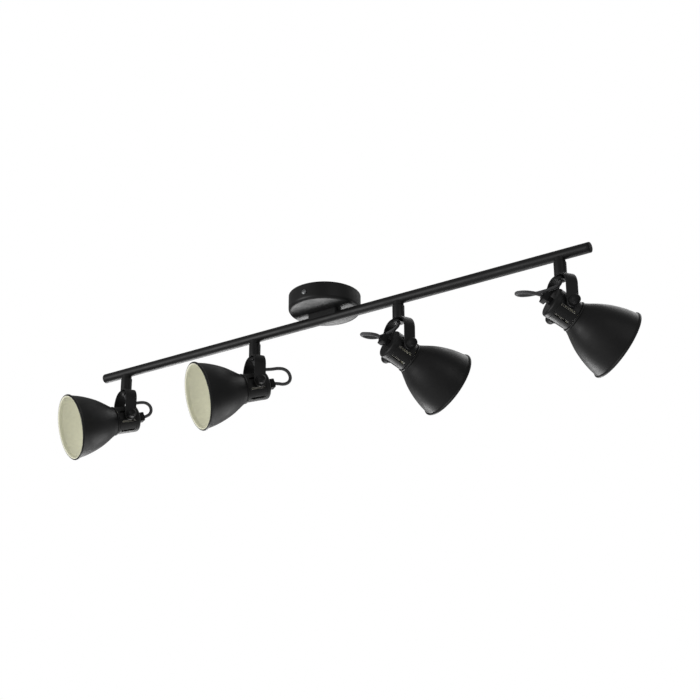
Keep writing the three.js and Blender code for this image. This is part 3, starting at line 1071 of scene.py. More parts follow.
# ---- canopy -------------------------------------------------------------------------------------
@dataclass(frozen=True)
class Canopy:
    """The round ceiling cover, its screws and the fittings that it hides."""

    wall: float = 0.0012
    edge_radius: float = 0.0050
    hem: float = 0.0006
    sides: int = 128
    hole: float = 0.0049
    screw_drop: float = 0.0125
    screw_hole: float = 0.0018
    bracket_steel: float = 0.0015
    bend: float = 0.0022
    lip: float = 0.0002
    tab_half: float = 0.0070
    slot_middle: float = 0.036
    slot_half: Spot = (0.0050, 0.0023)
    thread_pitch: float = 0.0010
    thread_depth: float = 0.0004
    nut_flats: float = 0.0130
    nut_chamfer: float = 0.0006
    washer_teeth: int = 18
    tooth_depth: float = 0.0009

    def build(self) -> None:
        """Builds and dresses every piece of the canopy."""
        self.cover()
        for name, turn in (("back", 0.0), ("front", math.pi)):
            self.screw(name, turn)
        self.bracket()
        self.nipple()
        self.washer()
        self.nut()
        self.saddle()
        self.earth_screw()
        self.terminal()

    def cover(self) -> bpy.types.Object:
        """Turns the cover with its rounded lower edge and folded hem, and drills it."""
        low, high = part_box("canopy_cover")
        radius, depth = high.x, low.z
        inside = radius - self.wall
        profile = softened([
            (-self.lip, radius - self.hem, 0.0), (0.0, radius - self.wall / 2, self.lip),
            (-self.lip, radius, self.hem / 2), (depth, radius, self.edge_radius), (depth, self.hole, 0.0003),
            (depth + self.wall, self.hole, 0.0003), (depth + self.wall, inside, self.edge_radius - self.wall),
            (-self.lip, inside, 0.0),
        ], steps=10)
        cover = Form().turn(profile, Axis.Z, self.sides, closed=True).piece("canopy_shell", BLACK_COAT)
        drill = rod(self.screw_hole, -0.06, 0.06, Axis.Y, 24)
        carve(cover, drill.placed(Matrix.Translation((0, 0, -self.screw_drop))))
        return show(cover, "root", BLACK_COAT, "canopy_cover")

    def screw(self, name: str, turn: float) -> bpy.types.Object:
        """Makes one pan-head cross-recess screw.

        Args:
            name: Which side it is on.
            turn: The angle about the canopy's middle, from the back.

        Returns:
            The screw.
        """
        low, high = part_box("canopy_screw_back")
        head_height, shank, tip, groove, half_pitch = 0.0021, 0.0014, 0.0003, 0.00018, 0.00035
        seat, crown = high.y - head_height, high.y
        head = (high.x - low.x) / 2
        ridges = [(low.y + tip + k * half_pitch, shank - (groove if k % 2 else 0.0)) for k in range(14)]
        dome = softened([(seat, shank, 0.0), (seat, head, 0.00025), (seat + 0.0008, head, 0.0008),
                         (crown, head * 0.45, 0.0015), (crown, 0.0, 0.0)], steps=6)
        screw = Form().turn([(low.y, 0.0), (low.y, shank * 0.7), *ridges, *dome], Axis.Y, 48)
        made = screw.piece(f"canopy_screw_{name}_pan_head", ZINC_STEEL)
        carve(made, *cross_recess(0.0020, 0.00065, crown - 0.0011, crown + 0.001))
        made.data.transform(Matrix.Rotation(turn, 4, "Z") @ Matrix.Translation((0, 0, -self.screw_drop)))
        return show(made, "root", ZINC_STEEL, f"canopy_screw_{name}")

    def bracket(self) -> bpy.types.Object:
        """Folds the slotted ceiling bracket from strip, with a tab at each end."""
        low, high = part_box("ceiling_bracket")
        reach, drop, half = high.y, low.z, high.x
        steel = self.bracket_steel
        path = softened([
            (-reach, drop, 0), (-reach, 0, self.bend), (reach, 0, self.bend), (reach, drop, 0),
            (reach - steel, drop, 0), (reach - steel, -steel, self.bend - steel),
            (-reach + steel, -steel, self.bend - steel), (-reach + steel, drop, 0),
        ], steps=5, closed=True)
        made = Form().loft([[Vector((x, y, z)) for y, z in path] for x in (-half, half)])
        bracket = made.piece("bracket_strip", ZINC_STEEL)
        cutters = []
        long, wide = self.slot_half
        below, beyond, through = (-0.0300, -0.0032), 0.006, 0.004
        for side in (-1, 1):
            for end in (-1, 1):
                cutters.append(block((side * self.tab_half, side * (half + 0.010)),
                                     (end * (reach - beyond), end * (reach + beyond)), below))
            slot = softened([(side * self.slot_middle + v * long, u * wide, 0.0022) for u, v in
                             ((1, 1), (1, -1), (-1, -1), (-1, 1))], steps=6, closed=True)
            cutters.append(Form().loft([[Vector((x, y, z)) for y, x in slot] for z in (-0.003, 0.003)]))
        for radius, across, sides in ((0.0050, 0.013, 32), (0.0019, 0.024, 24)):
            hole = rod(radius, -through, through, Axis.Z, sides)
            cutters.append(hole.placed(Matrix.Translation((0, across, 0))))
        tapped = rod(0.0017, -0.06, 0.06, Axis.Y, 24)
        cutters.append(tapped.placed(Matrix.Translation((0, 0, -self.screw_drop))))
        carve(bracket, *cutters)
        ease_edges(bracket, 0.0002)
        return show(bracket, "root", ZINC_STEEL, "ceiling_bracket")

    def nipple(self) -> bpy.types.Object:
        """Cuts the hollow threaded nipple that ties the bar to the canopy."""
        low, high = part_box("threaded_nipple")
        outer, bore, pitch = high.x, 0.0034, self.thread_pitch
        sides, form, rings = 36, Form(), []
        steps = int((high.z - low.z) / (pitch / 5))
        for step in range(steps + 1):
            z = low.z + (high.z - low.z) * step / steps
            ring = []
            for k in range(sides):
                phase = (z / pitch - k / sides) % 1.0
                ring.append(Axis.Z.point(z, outer - self.thread_depth * abs(2 * phase - 1), TURN * k / sides))
            rings.append(form.ring(ring))
        for z in (high.z, low.z):
            rings.append(form.ring(Axis.Z.point(z, bore, TURN * k / sides) for k in range(sides)))
        for first, second in zip(rings, [*rings[1:], rings[0]]):
            form.bridge(first, second)
        made = form.piece("nipple_thread", ZINC_STEEL, crease=50.0)
        return show(made, "root", ZINC_STEEL, "threaded_nipple")

    def washer(self) -> bpy.types.Object:
        """Makes the toothed lock washer."""
        low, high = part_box("lock_washer")
        sides = 6 * self.washer_teeth
        form = Form()
        wave = [high.x - self.tooth_depth * (0.5 + 0.5 * math.cos(TURN * self.washer_teeth * k / sides))
                for k in range(sides)]
        rings = []
        for z, inner in ((low.z, False), (high.z, False), (high.z, True), (low.z, True)):
            radii = [self.hole] * sides if inner else wave
            rings.append(form.ring(Axis.Z.point(z, radius, TURN * k / sides)
                                   for k, radius in enumerate(radii)))
        for first, second in zip(rings, [*rings[1:], rings[0]]):
            form.bridge(first, second)
        return show(form.piece("toothed_lock_washer", ZINC_STEEL), "root", ZINC_STEEL, "lock_washer")

    def nut(self) -> bpy.types.Object:
        """Makes the chamfered hexagon nut."""
        low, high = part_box("hex_nut")
        form = hexagon_form(self.nut_flats, low.z, high.z, self.hole, self.nut_chamfer)
        return show(form.piece("nipple_nut", ZINC_STEEL, crease=25.0), "root", ZINC_STEEL, "hex_nut")

    def saddle(self) -> bpy.types.Object:
        """Shapes the block that fills the space between the canopy and the bar."""
        low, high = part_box("saddle_block")
        bar_low, bar_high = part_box("bar_tube")
        bar_z = (bar_low.z + bar_high.z) / 2
        outline = rectangle(high.x, high.y, 0.0035, 8)
        made = Form().prism(outline, low.z, high.z + 0.00025, Axis.Z).piece("bar_saddle", BLACK_COAT)
        bar = rod(bar_high.y + 0.0001, -0.03, 0.03, Axis.X, 64).placed(Matrix.Translation((0, 0, bar_z)))
        carve(made, bar, rod(0.0047, -0.04, -0.02, Axis.Z, 32))
        ease_edges(made, 0.0004)
        return show(made, "root", BLACK_COAT, "saddle_block")

    def earth_screw(self) -> bpy.types.Object:
        """Makes the brass earth screw with its cross recess."""
        low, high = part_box("earth_screw")
        middle = (low + high) / 2
        head, shank = high.x, 0.0016
        body = softened([(low.z, 0.0, 0), (low.z, head * 0.6, 0.001), (low.z + 0.0014, head, 0.0008),
                         (low.z + 0.0026, head, 0.0002), (low.z + 0.0026, shank, 0), (high.z, shank, 0.0003),
                         (high.z, 0.0, 0)])
        screw = Form().turn(body, Axis.Z, 32).placed(Matrix.Translation((0, middle.y, 0)))
        made = screw.piece("brass_earth_screw", BRASS)
        recess = [tool.placed(Matrix.Translation((0, middle.y, 0)))
                  for tool in cross_recess(0.0018, 0.0006, low.z - 0.001, low.z + 0.001, Axis.Z)]
        carve(made, *recess)
        return show(made, "root", BRASS, "earth_screw")

    def terminal(self) -> bpy.types.Object:
        """Makes the three-way terminal block with its screw wells and wire entries."""
        low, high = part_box("terminal_block")
        middle, half = (low + high) / 2, (high - low) / 2
        outline = rectangle(half.x, half.y, 0.0012, 4)
        body = Form().prism(outline, low.z, high.z, Axis.Z).placed(Matrix.Translation((0, middle.y, 0)))
        made = body.piece("connector_block", IVORY_PLASTIC, BRASS)
        spread, offset = half.x * 0.62, half.y * 0.45
        tools = []
        for way in (-1, 0, 1):
            x = way * spread
            for side in (-1, 1):
                well = rod(0.0017, low.z - 0.001, low.z + 0.0045, Axis.Z, 20)
                tools.append(well.placed(Matrix.Translation((x, middle.y + side * offset, 0))))
            entry = rod(0.0016, low.y - 0.001, high.y + 0.001, Axis.Y, 20)
            tools.append(entry.placed(Matrix.Translation((x, 0, middle.z + 0.0015))))
        carve(made, *tools)
        ease_edges(made, 0.00025, angle=60.0)
        show(made, "root", IVORY_PLASTIC, "terminal_block")
        screws = Form()
        radius, head, foot = 0.00155, low.z + 0.0024, low.z + 0.0046
        for way in (-1, 0, 1):
            for side in (-1, 1):
                outline = softened([(head, 0.0, 0), (head, radius, 0.0003), (foot, radius, 0),
                                    (foot, 0.0, 0)])
                spot = Matrix.Translation((way * spread, middle.y + side * offset, 0))
                screws.joined(Form().turn(outline, Axis.Z, 20).placed(spot))
        return show(screws.piece("connector_screws", BRASS), "root", BRASS)


def cross_recess(reach: float, width: float, low: float, high: float, axis: Axis = Axis.Y) -> list[Form]:
    """Makes the two cutters of a cross recess.

    Args:
        reach: How far each arm reaches from the middle.
        width: How wide each arm is.
        low: Where the recess starts along the axis.
        high: Where it ends along the axis.
        axis: The screw's axis.

    Returns:
        The cutters.
    """
    half = width / 2
    arms = [(reach, half), (half, reach)]
    return [Form().prism(rectangle(first, second, half * 0.4, 3), low, high, axis) for first, second in arms]


def hexagon_form(across_flats: float, low: float, high: float, bore: float, chamfer: float) -> Form:
    """Makes a hexagon with a bore and corners chamfered at both ends.

    Args:
        across_flats: Its width across the flats.
        low: Its lower face.
        high: Its upper face.
        bore: The radius of the bore.
        chamfer: How deep the chamfers go.

    Returns:
        The form, about Z.
    """
    sides = 72
    flat = across_flats / 2
    corner = [flat / math.cos((TURN * k / sides) % (TURN / 6) - TURN / 12) for k in range(sides)]
    round_end = [flat] * sides
    eased = [min(radius, flat * 1.06) for radius in corner]
    rows = [(low, round_end), (low + chamfer / 3, eased), (low + chamfer, corner), (high - chamfer, corner),
            (high - chamfer / 3, eased), (high, round_end), (high, [bore] * sides), (low, [bore] * sides)]
    form = Form()
    rings = [form.ring(Axis.Z.point(z, radius, TURN * k / sides) for k, radius in enumerate(radii))
             for z, radii in rows]
    for first, second in zip(rings, [*rings[1:], rings[0]]):
        form.bridge(first, second)
    return form


# ---- bar ----------------------------------------------------------------------------------------
@dataclass(frozen=True)
class Bar:
    """The straight tube, its end caps and the wires inside it."""

    wall: float = 0.0010
    sides: int = 72
    rows: int = 40
    cap_radius: float = 0.0022
    wire_hole: float = 0.0036
    feed_hole: float = 0.0049
    twist_pitch: float = 0.060

    def build(self) -> None:
        """Builds and dresses the tube, the caps and the wires."""
        low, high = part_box("bar_tube")
        middle = Matrix.Translation((0, 0, (low.z + high.z) / 2))
        radius, end = high.y, high.x
        outside = [(-end + 2 * end * row / self.rows, radius) for row in range(self.rows + 1)]
        inside = [(end, radius - self.wall), (-end, radius - self.wall)]
        tube = Form().turn([*outside, *inside], Axis.X, self.sides, closed=True)
        made = tube.placed(middle).piece("bar_tube_skin", BLACK_COAT)
        drills = [rod(self.feed_hole, 0.0, 0.009, Axis.Z, 24).placed(middle)]
        for place in PLACES:
            drill = rod(self.wire_hole, -0.009, 0.0, Axis.Z, 24)
            drills.append(drill.placed(middle @ Matrix.Translation((place.pivot.x, 0, 0))))
        carve(made, *drills)
        show(made, "root", BLACK_COAT, "bar_tube")
        for side, turn in (("right", 0.0), ("left", math.pi)):
            self.cap(side, middle @ Matrix.Rotation(turn, 4, "Z"), radius)
        self.wires()

    def cap(self, side: str, place: Matrix, radius: float) -> bpy.types.Object:
        """Turns one end cap with its plug.

        Args:
            side: Which end.
            place: Where it goes, with the right end along X.
            radius: The tube's radius.

        Returns:
            The cap.
        """
        low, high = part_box("bar_end_cap_right")
        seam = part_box("bar_tube")[1].x + 0.0001
        plug = radius - self.wall - 0.0003
        profile = softened([(low.x, 0.0, 0), (low.x, plug, 0.0006), (seam, plug, 0), (seam, radius, 0.0002),
                            (high.x, radius, self.cap_radius), (high.x, 0.0, 0)], steps=8)
        cap = Form().turn(profile, Axis.X, self.sides).placed(place).piece(f"end_cap_{side}", BLACK_PLASTIC)
        return show(cap, "root", BLACK_PLASTIC, f"bar_end_cap_{side}")

    def wires(self) -> bpy.types.Object:
        """Lays the two insulated wires that run inside the tube, loosely twisted."""
        low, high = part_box("wiring_loom")
        radius = (high.y - low.y) / 4
        middle = (low + high) / 2
        steps, sides, form = 240, 12, Form()
        for phase in (0.0, math.pi):
            line = []
            for step in range(steps + 1):
                along = low.x + (high.x - low.x) * step / steps
                angle = phase + along / self.twist_pitch * TURN
                line.append(Vector((along, middle.y + radius * math.cos(angle),
                                    middle.z + radius * math.sin(angle))))
            sections = [[point + Axis.X.point(0.0, radius * 0.98, TURN * k / sides) for k in range(sides)]
                        for point in line]
            form.joined(Form().loft(sections))
        return show(form.piece("twisted_wires", BLACK_SLEEVE), "root", BLACK_SLEEVE, "wiring_loom")


# ---- hanger: stem, hollow bolt and yoke ---------------------------------------------------------
@dataclass(frozen=True)
class Hanger:
    """What one head hangs from: the stem under the bar, the hollow bolt and the bent strap."""

    place: HeadPlace
    steel: float = 0.0020
    corner: float = 0.0200
    strap: float = 0.0165
    half_width: float = 0.0270
    screw_hole: float = 0.0027
    bolt_hole: float = 0.0047
    edge: float = 0.00045
    bolt_flats: float = 0.0140
    bolt_chamfer: float = 0.0007
    eye_margin: float = 0.0080

    def build(self) -> None:
        """Builds and dresses the stem, the bolt and the yoke."""
        self.stem()
        self.bolt()
        self.yoke()

    def stem(self) -> bpy.types.Object:
        """Turns the stem: a narrow neck fitted to the bar over a wider barrel."""
        name = f"stem_{self.place.number}"
        low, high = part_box(name)
        bar_low, bar_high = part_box("bar_tube")
        bar_z = (bar_low.z + bar_high.z) / 2
        foot, barrel, neck = low.z, (high.x - low.x) / 2, 0.0072
        top, neck_end, shoulder, ledge = bar_z - 0.0040, bar_z - 0.0090, bar_z - 0.0104, bar_z - 0.0190
        bore, top_bore = self.bolt_hole, 0.0036
        profile = softened([
            (top, neck, 0), (neck_end, neck, 0.0004), (shoulder, barrel, 0.0006), (foot, barrel, 0.0009),
            (foot, bore, 0.0002), (ledge, bore, 0), (ledge, top_bore, 0), (top, top_bore, 0),
        ], steps=5)
        shift = Matrix.Translation((self.place.pivot.x, 0, 0))
        made = Form().turn(profile, Axis.Z, 64, closed=True).placed(shift).piece(f"{name}_barrel", BLACK_COAT)
        seat = rod(bar_high.y + 0.00005, -0.02, 0.02, Axis.X, 96)
        carve(made, seat.placed(Matrix.Translation((self.place.pivot.x, 0, bar_z))))
        return show(made, "root", BLACK_COAT, name)

    def bolt(self) -> bpy.types.Object:
        """Makes the hollow swivel bolt with its chamfered hexagon head."""
        name = f"swivel_bolt_{self.place.number}"
        low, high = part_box(name)
        head_top = low.z + 0.0035
        bore, shank = 0.0034, 0.0044
        head = hexagon_form(self.bolt_flats, low.z, head_top, bore, self.bolt_chamfer)
        tube = Form().turn(softened([(head_top - 0.0005, bore, 0), (head_top - 0.0005, shank, 0),
                                     (high.z, shank, 0.0004), (high.z, bore, 0.0002)]),
                           Axis.Z, 72, closed=True)
        shift = Matrix.Translation((self.place.pivot.x, 0, 0))
        made = head.placed(shift).piece(f"{name}_head", BLACK_COAT, crease=25.0)
        sleeve = tube.placed(shift).piece(f"{name}_sleeve", BLACK_COAT)
        show(sleeve, "root", BLACK_COAT, name)
        return show(made, "root", BLACK_COAT, name)

    def bent(self, spot: Spot, top: float) -> Vector:
        """Takes a point of the flat strap to its place on the bent one.

        Args:
            spot: How far it is along the strap from the middle of the top, and across it.
            top: The height of the yoke's top face above the pivot.

        Returns:
            The place in the yoke's frame.
        """
        along, across = spot
        side = math.copysign(1.0, along)
        run = abs(along)
        half = self.flat_half
        turn = self.corner * math.pi / 2
        if run <= half:
            return Vector((across, along, top))
        if run <= half + turn:
            angle = (run - half) / self.corner
            return Vector((across, side * (half + self.corner * math.sin(angle)),
                           top - self.corner * (1 - math.cos(angle))))
        return Vector((across, side * (half + self.corner), top - self.corner - (run - half - turn)))

    @property
    def flat_half(self) -> float:
        """Half the flat top of the yoke."""
        return self.half_width - self.corner

    def yoke(self) -> bpy.types.Object:
        """Bends the drilled strap over the head, round-ended and eased along its edges."""
        name = f"yoke_{self.place.number}"
        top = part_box(name)[1].z - self.place.pivot.z
        half = self.strap / 2
        reach = self.flat_half + self.corner * math.pi / 2 + (top - self.corner)
        columns = [half - self.strap * k / 8 for k in range(9)]

        def lay(spot: Spot) -> Vector:
            """Takes a flat point to the bent strap."""
            return self.bent(spot, top)

        form = Form()
        side = self.flat_half
        square = ([(side, v) for v in columns] + [(side - 2 * side * k / 8, -half) for k in range(1, 9)]
                  + [(-side, v) for v in reversed(columns[:-1])]
                  + [(-side + 2 * side * k / 8, half) for k in range(1, 8)])
        form.holed(square, ringed(square, (0.0, 0.0), self.bolt_hole), 4, lay)
        for end in (-1, 1):
            eye = end * reach
            near = end * (reach - self.eye_margin)
            rows = [end * (side + (reach - self.eye_margin - side) * k / 26) for k in range(27)]
            form.sheet(rows, columns, lay)
            legs = ([(near, v) for v in columns]
                    + [(near + (eye - near) * k / 4, -half) for k in range(1, 4)]
                    + [(eye + end * half * math.cos(a), -half * math.sin(a))
                       for a in (math.pi / 2 - math.pi * k / 16 for k in range(17))]
                    + [(eye - (eye - near) * k / 4, half) for k in range(1, 4)])
            form.holed(legs, ringed(legs, (eye, 0.0), self.screw_hole), 3, lay)
        made = form.placed(self.place.yoke).piece(f"{name}_strap", BLACK_COAT)
        face_outward(made, self.place.yoke @ Vector((0, 0, 0.010)))
        thicken(made, self.steel)
        ease_edges(made, self.edge, 3)
        return show(made, name, BLACK_COAT, name)


def ringed(outline: Sequence[Spot], centre: Spot, radius: float) -> list[Spot]:
    """Draws a round hole with a point towards each point of an outline.

    Args:
        outline: The outline about the hole.
        centre: The hole's middle.
        radius: Its radius.

    Returns:
        The hole's points.
    """
    angles = [math.atan2(v - centre[1], u - centre[0]) for u, v in outline]
    return [(centre[0] + radius * math.cos(angle), centre[1] + radius * math.sin(angle)) for angle in angles]


def face_outward(piece: bpy.types.Object, inside: Vector) -> None:
    """Turns an open sheet's faces away from a point on its inner side.

    Args:
        piece: The sheet.
        inside: The point.
    """
    total = sum((face.center - inside).dot(face.normal) * face.area for face in piece.data.polygons)
    if total < 0:
        piece.data.flip_normals()


# ---- lamp head ----------------------------------------------------------------------------------
@dataclass(frozen=True)
class LampHead:
    """One head: the vented housing, the bell shade, the lamp and what fixes them."""

    place: HeadPlace
    housing_radius: float = 0.0200
    housing_back: float = -0.0185
    housing_front: float = 0.0150
    housing_edge: float = 0.0050
    housing_wall: float = 0.0012
    vents: int = 8
    vent_half_length: float = 0.0110
    vent_middle: float = 0.0010
    vent_half_width: float = 0.0017
    shade_wall: float = 0.0010
    neck_bead: float = 0.0214
    bead_radius: float = 0.0014
    neck_radius: float = 0.0198
    neck_bore: float = 0.0192
    cable_hole: float = 0.0034
    groove_depth: float = 0.00035
    mouth: float = 0.0850
    rim_radius: float = 0.0482
    rim_bead: float = 0.00185
    sides: int = 96
    gland_half: float = 0.0065
    bell: tuple[Spot, ...] = ((0.019, 0.0210), (0.024, 0.0238), (0.031, 0.0282), (0.041, 0.0339),
                              (0.053, 0.0391), (0.067, 0.0436), (0.0800, 0.0463))

    @property
    def body(self) -> str:
        """The body that the head's pieces ride on."""
        return f"head_{self.place.number}"

    def build(self) -> None:
        """Builds and dresses every piece of the head."""
        self.housing()
        self.shade()
        self.lampholder()
        self.lamp()
        self.gland()
        for side, turn in (("left", 0.0), ("right", math.pi)):
            self.pivot_screw(side, turn)
            self.spacer(side, turn)

    def show(self, form: Form, kind: str, finish: Finish, *nodes: str) -> bpy.types.Object:
        """Places a form in the head's frame and makes it ride on the head.

        Args:
            form: The form, in the head's frame.
            kind: What the piece is.
            finish: Its finish.
            *nodes: The kinds of nodes that it stands for.

        Returns:
            The piece.
        """
        made = form.placed(self.place.head).piece(f"{kind}_{self.place.number}", finish)
        return show(made, self.body, finish, *[f"{node}_{self.place.number}" for node in nodes])

    def on_barrel(self, spot: Spot) -> Vector:
        """Lays a flat point of (round the barrel, along it) on the housing."""
        return Axis.X.point(spot[1], self.housing_radius, spot[0] / self.housing_radius)

    def vent_loops(self, middle: float) -> tuple[list[Spot], list[Spot]]:
        """Draws the outline of one vent's share of the barrel, and the vent in it.

        Args:
            middle: The vent's place round the barrel.

        Returns:
            The outline and the round-ended vent, with matching points.
        """
        share = TURN * self.housing_radius / self.vents
        low, high = self.groove_front, self.housing_front
        wide, long = 8, 10
        half = share / 2
        across = [half - share * k / wide for k in range(wide + 1)]
        down = [high - (high - low) * k / long for k in range(long + 1)]
        outer = ([(middle + a, high) for a in across[:-1]] + [(middle - half, d) for d in down[:-1]]
                 + [(middle - a, low) for a in across[:-1]]
                 + [(middle + half, d) for d in reversed(down[1:])])
        width = self.vent_half_width
        straight = self.vent_half_length - width
        front, back = self.vent_middle + straight, self.vent_middle - straight
        run = [front - (front - back) * k / long for k in range(long + 1)]
        turns = [math.pi * k / wide for k in range(wide + 1)]
        inner = ([(middle + width * math.cos(a), front + width * math.sin(a)) for a in turns[:-1]]
                 + [(middle - width, d) for d in run[:-1]]
                 + [(middle - width * math.cos(a), back - width * math.sin(a)) for a in turns[:-1]]
                 + [(middle + width, d) for d in reversed(run[1:])])
        return outer, inner

    @property
    def groove_front(self) -> float:
        """Where the seam groove behind the vents starts."""
        return self.vent_middle - self.vent_half_length - 0.0006

    def housing(self) -> bpy.types.Object:
        """Forms the vented can with its rounded back and a seam groove."""
        form = Form()
        radius = self.housing_radius
        share = TURN * radius / self.vents
        for vent in range(self.vents):
            outer, inner = self.vent_loops((vent + 0.5) * share)
            form.holed(outer, inner, 5, self.on_barrel)
        groove = self.groove_front
        sunk = radius - self.groove_depth
        back = softened([
            (groove, radius, 0), (groove - 0.0002, sunk, 0), (groove - 0.0006, sunk, 0),
            (groove - 0.0008, radius, 0), (self.housing_back, radius, self.housing_edge),
            (self.housing_back, radius * 0.45, 0), (self.housing_back, self.cable_hole, 0),
        ], steps=10)
        form.turn(back, Axis.X, 8 * self.vents)
        made = form.placed(self.place.head).piece(f"housing_can_{self.place.number}", BLACK_COAT)
        face_outward(made, self.place.head @ Vector((0, 0, 0)))
        thicken(made, self.housing_wall)
        ease_edges(made, 0.0002, 2, 50.0)
        return show(made, self.body, BLACK_COAT, f"housing_{self.place.number}")

    def shade(self) -> bpy.types.Object:
        """Spins the bell with its neck bead and rolled rim: black outside, cream within."""
        neck = self.housing_front + 0.0003
        bell = [(p.x, p.y) for p in flowing([Vector((a, r, 0)) for a, r in self.bell], 7)]
        bead = arc((neck + 0.0017, self.neck_bead - self.bead_radius), self.bead_radius, 170, 25, 8)
        centre = (self.mouth - self.rim_bead, self.rim_radius - self.rim_bead)
        roll = arc(centre, self.rim_bead, 176, -8, 18)
        rolled_in = arc(centre, self.rim_bead, -16, -80, 7)
        outside = [(neck, self.neck_radius), *bead, *bell, *roll]
        inside = [*rolled_in, *[(a, r - self.shade_wall) for a, r in reversed(bell)]]
        finishes = [0] * (len(outside) - 1) + [1] * len(inside) + [1, 0]
        form = Form().turn([*outside, *inside, (neck, self.neck_bore)], Axis.X, self.sides, closed=True,
                           finishes=finishes)
        made = form.placed(self.place.head).piece(f"shade_bell_{self.place.number}", BLACK_COAT, CREAM_ENAMEL)
        return show(made, self.body, CREAM_ENAMEL, f"shade_{self.place.number}")

    def lampholder(self) -> bpy.types.Object:
        """Turns the lampholder with its ribbed skirt."""
        low, radius, front = self.housing_back + self.housing_wall + 0.0003, 0.0110, 0.0080
        ribs = [(low + 0.003 + 0.0012 * k, radius - (0.0005 if k % 2 else 0.0), 0.0002) for k in range(12)]
        profile = softened([(low, 0.0, 0), (low, radius - 0.001, 0.0005), (low + 0.002, radius, 0.0003),
                            *ribs, (front, radius, 0.001), (front, 0.0, 0)], steps=3)
        return self.show(Form().turn(profile, Axis.X, 64), "lampholder_body", WHITE_CERAMIC, "lampholder")

    def lamp(self) -> bpy.types.Object:
        """Turns the reflector lamp with its frosted front."""
        profile = softened([(0.0083, 0.0, 0), (0.0083, 0.0086, 0.0006), (0.0130, 0.0100, 0.004),
                            (0.0340, 0.0210, 0.012), (0.0420, 0.0246, 0.008), (0.0480, 0.0250, 0.002)],
                           steps=8)
        front = softened([(0.0492, 0.0250, 0), (0.0500, 0.0234, 0.001), (0.0508, 0.0120, 0.02),
                          (0.0510, 0.0, 0)], steps=6)
        finishes = [0] * len(profile) + [1] * (len(front) - 1)
        form = Form().turn([*profile, *front], Axis.X, 72, finishes=finishes)
        made = form.placed(self.place.head).piece(f"lamp_bulb_{self.place.number}", LAMP_WHITE, FROSTED_LENS)
        return show(made, self.body, LAMP_WHITE, f"lamp_{self.place.number}")

    def gland(self) -> bpy.types.Object:
        """Moulds the cord gland: a square block on a round neck, with a collar for the cord."""
        flange, end = self.housing_back - 0.0001, -0.0320
        block_front, block_back = -0.0234, -0.0302
        neck, collar, throat, shank = 0.0048, 0.0042, 0.0027, 0.0030
        square = rectangle(self.gland_half, self.gland_half, 0.0014, 7)
        angles = [math.atan2(b, a) for a, b in square]

        def circle(radius: float) -> list[Spot]:
            """Gives a round section with a point towards each point of the square."""
            return [(radius * math.cos(angle), radius * math.sin(angle)) for angle in angles]

        def inset(share: float) -> list[Spot]:
            """Gives the square section, scaled."""
            return [(a * share, b * share) for a, b in square]

        rows = [
            (self.housing_back + self.housing_wall, circle(shank)),
            (flange, circle(shank)), (flange, circle(neck)),
            (block_front - 0.0002, circle(neck)), (block_front - 0.0002, inset(0.93)),
            (block_front - 0.0007, inset(1.0)), (block_back + 0.0007, inset(1.0)),
            (block_back + 0.0002, inset(0.965)), (block_back, inset(0.90)),
            (block_back, circle(collar + 0.0003)), (block_back - 0.0003, circle(collar)),
            (end + 0.0005, circle(collar)), (end, circle(collar - 0.0005)), (end, circle(throat)),
            (end + 0.0025, circle(throat)),
        ]
        form = Form().loft([[Vector((along, a, b)) for a, b in section] for along, section in rows])
        return self.show(form, "cord_gland_block", BLACK_PLASTIC, "cord_gland")

    def pivot_screw(self, side: str, turn: float) -> bpy.types.Object:
        """Turns one domed pivot screw with its shoulder washer.

        Args:
            side: Which side of the head.
            turn: The angle about the head's up direction, from the left.

        Returns:
            The screw.
        """
        tip, seat, shank, head, end = 0.0205, 0.0272, 0.0024, 0.0068, 0.0392
        flange, dome = seat + 0.0010, head - 0.0006
        profile = softened([
            (tip, 0.0, 0), (tip, shank, 0.0004), (seat, shank, 0), (seat, head, 0.0003),
            (flange, head, 0.0003), (flange, dome, 0.0002), (seat + 0.0080, dome, 0.0030),
            (end, head * 0.42, 0.0045), (end, 0.0, 0),
        ], steps=7)
        form = Form().turn(profile, Axis.Y, 56).placed(Matrix.Rotation(turn, 4, "Z"))
        return self.show(form, f"pivot_screw_{side}_dome", BLACK_PLASTIC, f"pivot_screw_{side}")

    def spacer(self, side: str, turn: float) -> bpy.types.Object:
        """Turns the spacer between the housing and one leg of the yoke.

        Args:
            side: Which side of the head.
            turn: The angle about the head's up direction, from the left.

        Returns:
            The spacer.
        """
        low, high, outer, bore = 0.0190, 0.0249, 0.0055, 0.0026
        profile = softened([(low, outer, 0.0002), (high, outer, 0.0005), (high, bore, 0.0002),
                            (low, bore, 0.0002)], steps=4, closed=True)
        form = Form().turn(profile, Axis.Y, 48, closed=True).placed(Matrix.Rotation(turn, 4, "Z"))
        return self.show(form, f"pivot_spacer_{side}", BLACK_COAT)


# ---- studio -------------------------------------------------------------------------------------
@dataclass(frozen=True)
class Softbox:
    """One large soft light, aimed at the middle of the bar."""

    name: str
    place: Vector
    width: float
    height: float
    power: float

    def build(self, target: Vector) -> None:
        """Hangs the light and aims it.

        Args:
            target: What it points at.
        """
        light = bpy.data.lights.new(self.name, "AREA")
        light.shape = "RECTANGLE"
        light.size = self.width
        light.size_y = self.height
        light.energy = self.power
        made = bpy.data.objects.new(self.name, light)
        made.location = self.place
        made.rotation_mode = "QUATERNION"
        made.rotation_quaternion = (target - self.place).to_track_quat("-Z", "Y")
        bpy.context.scene.collection.objects.link(made)


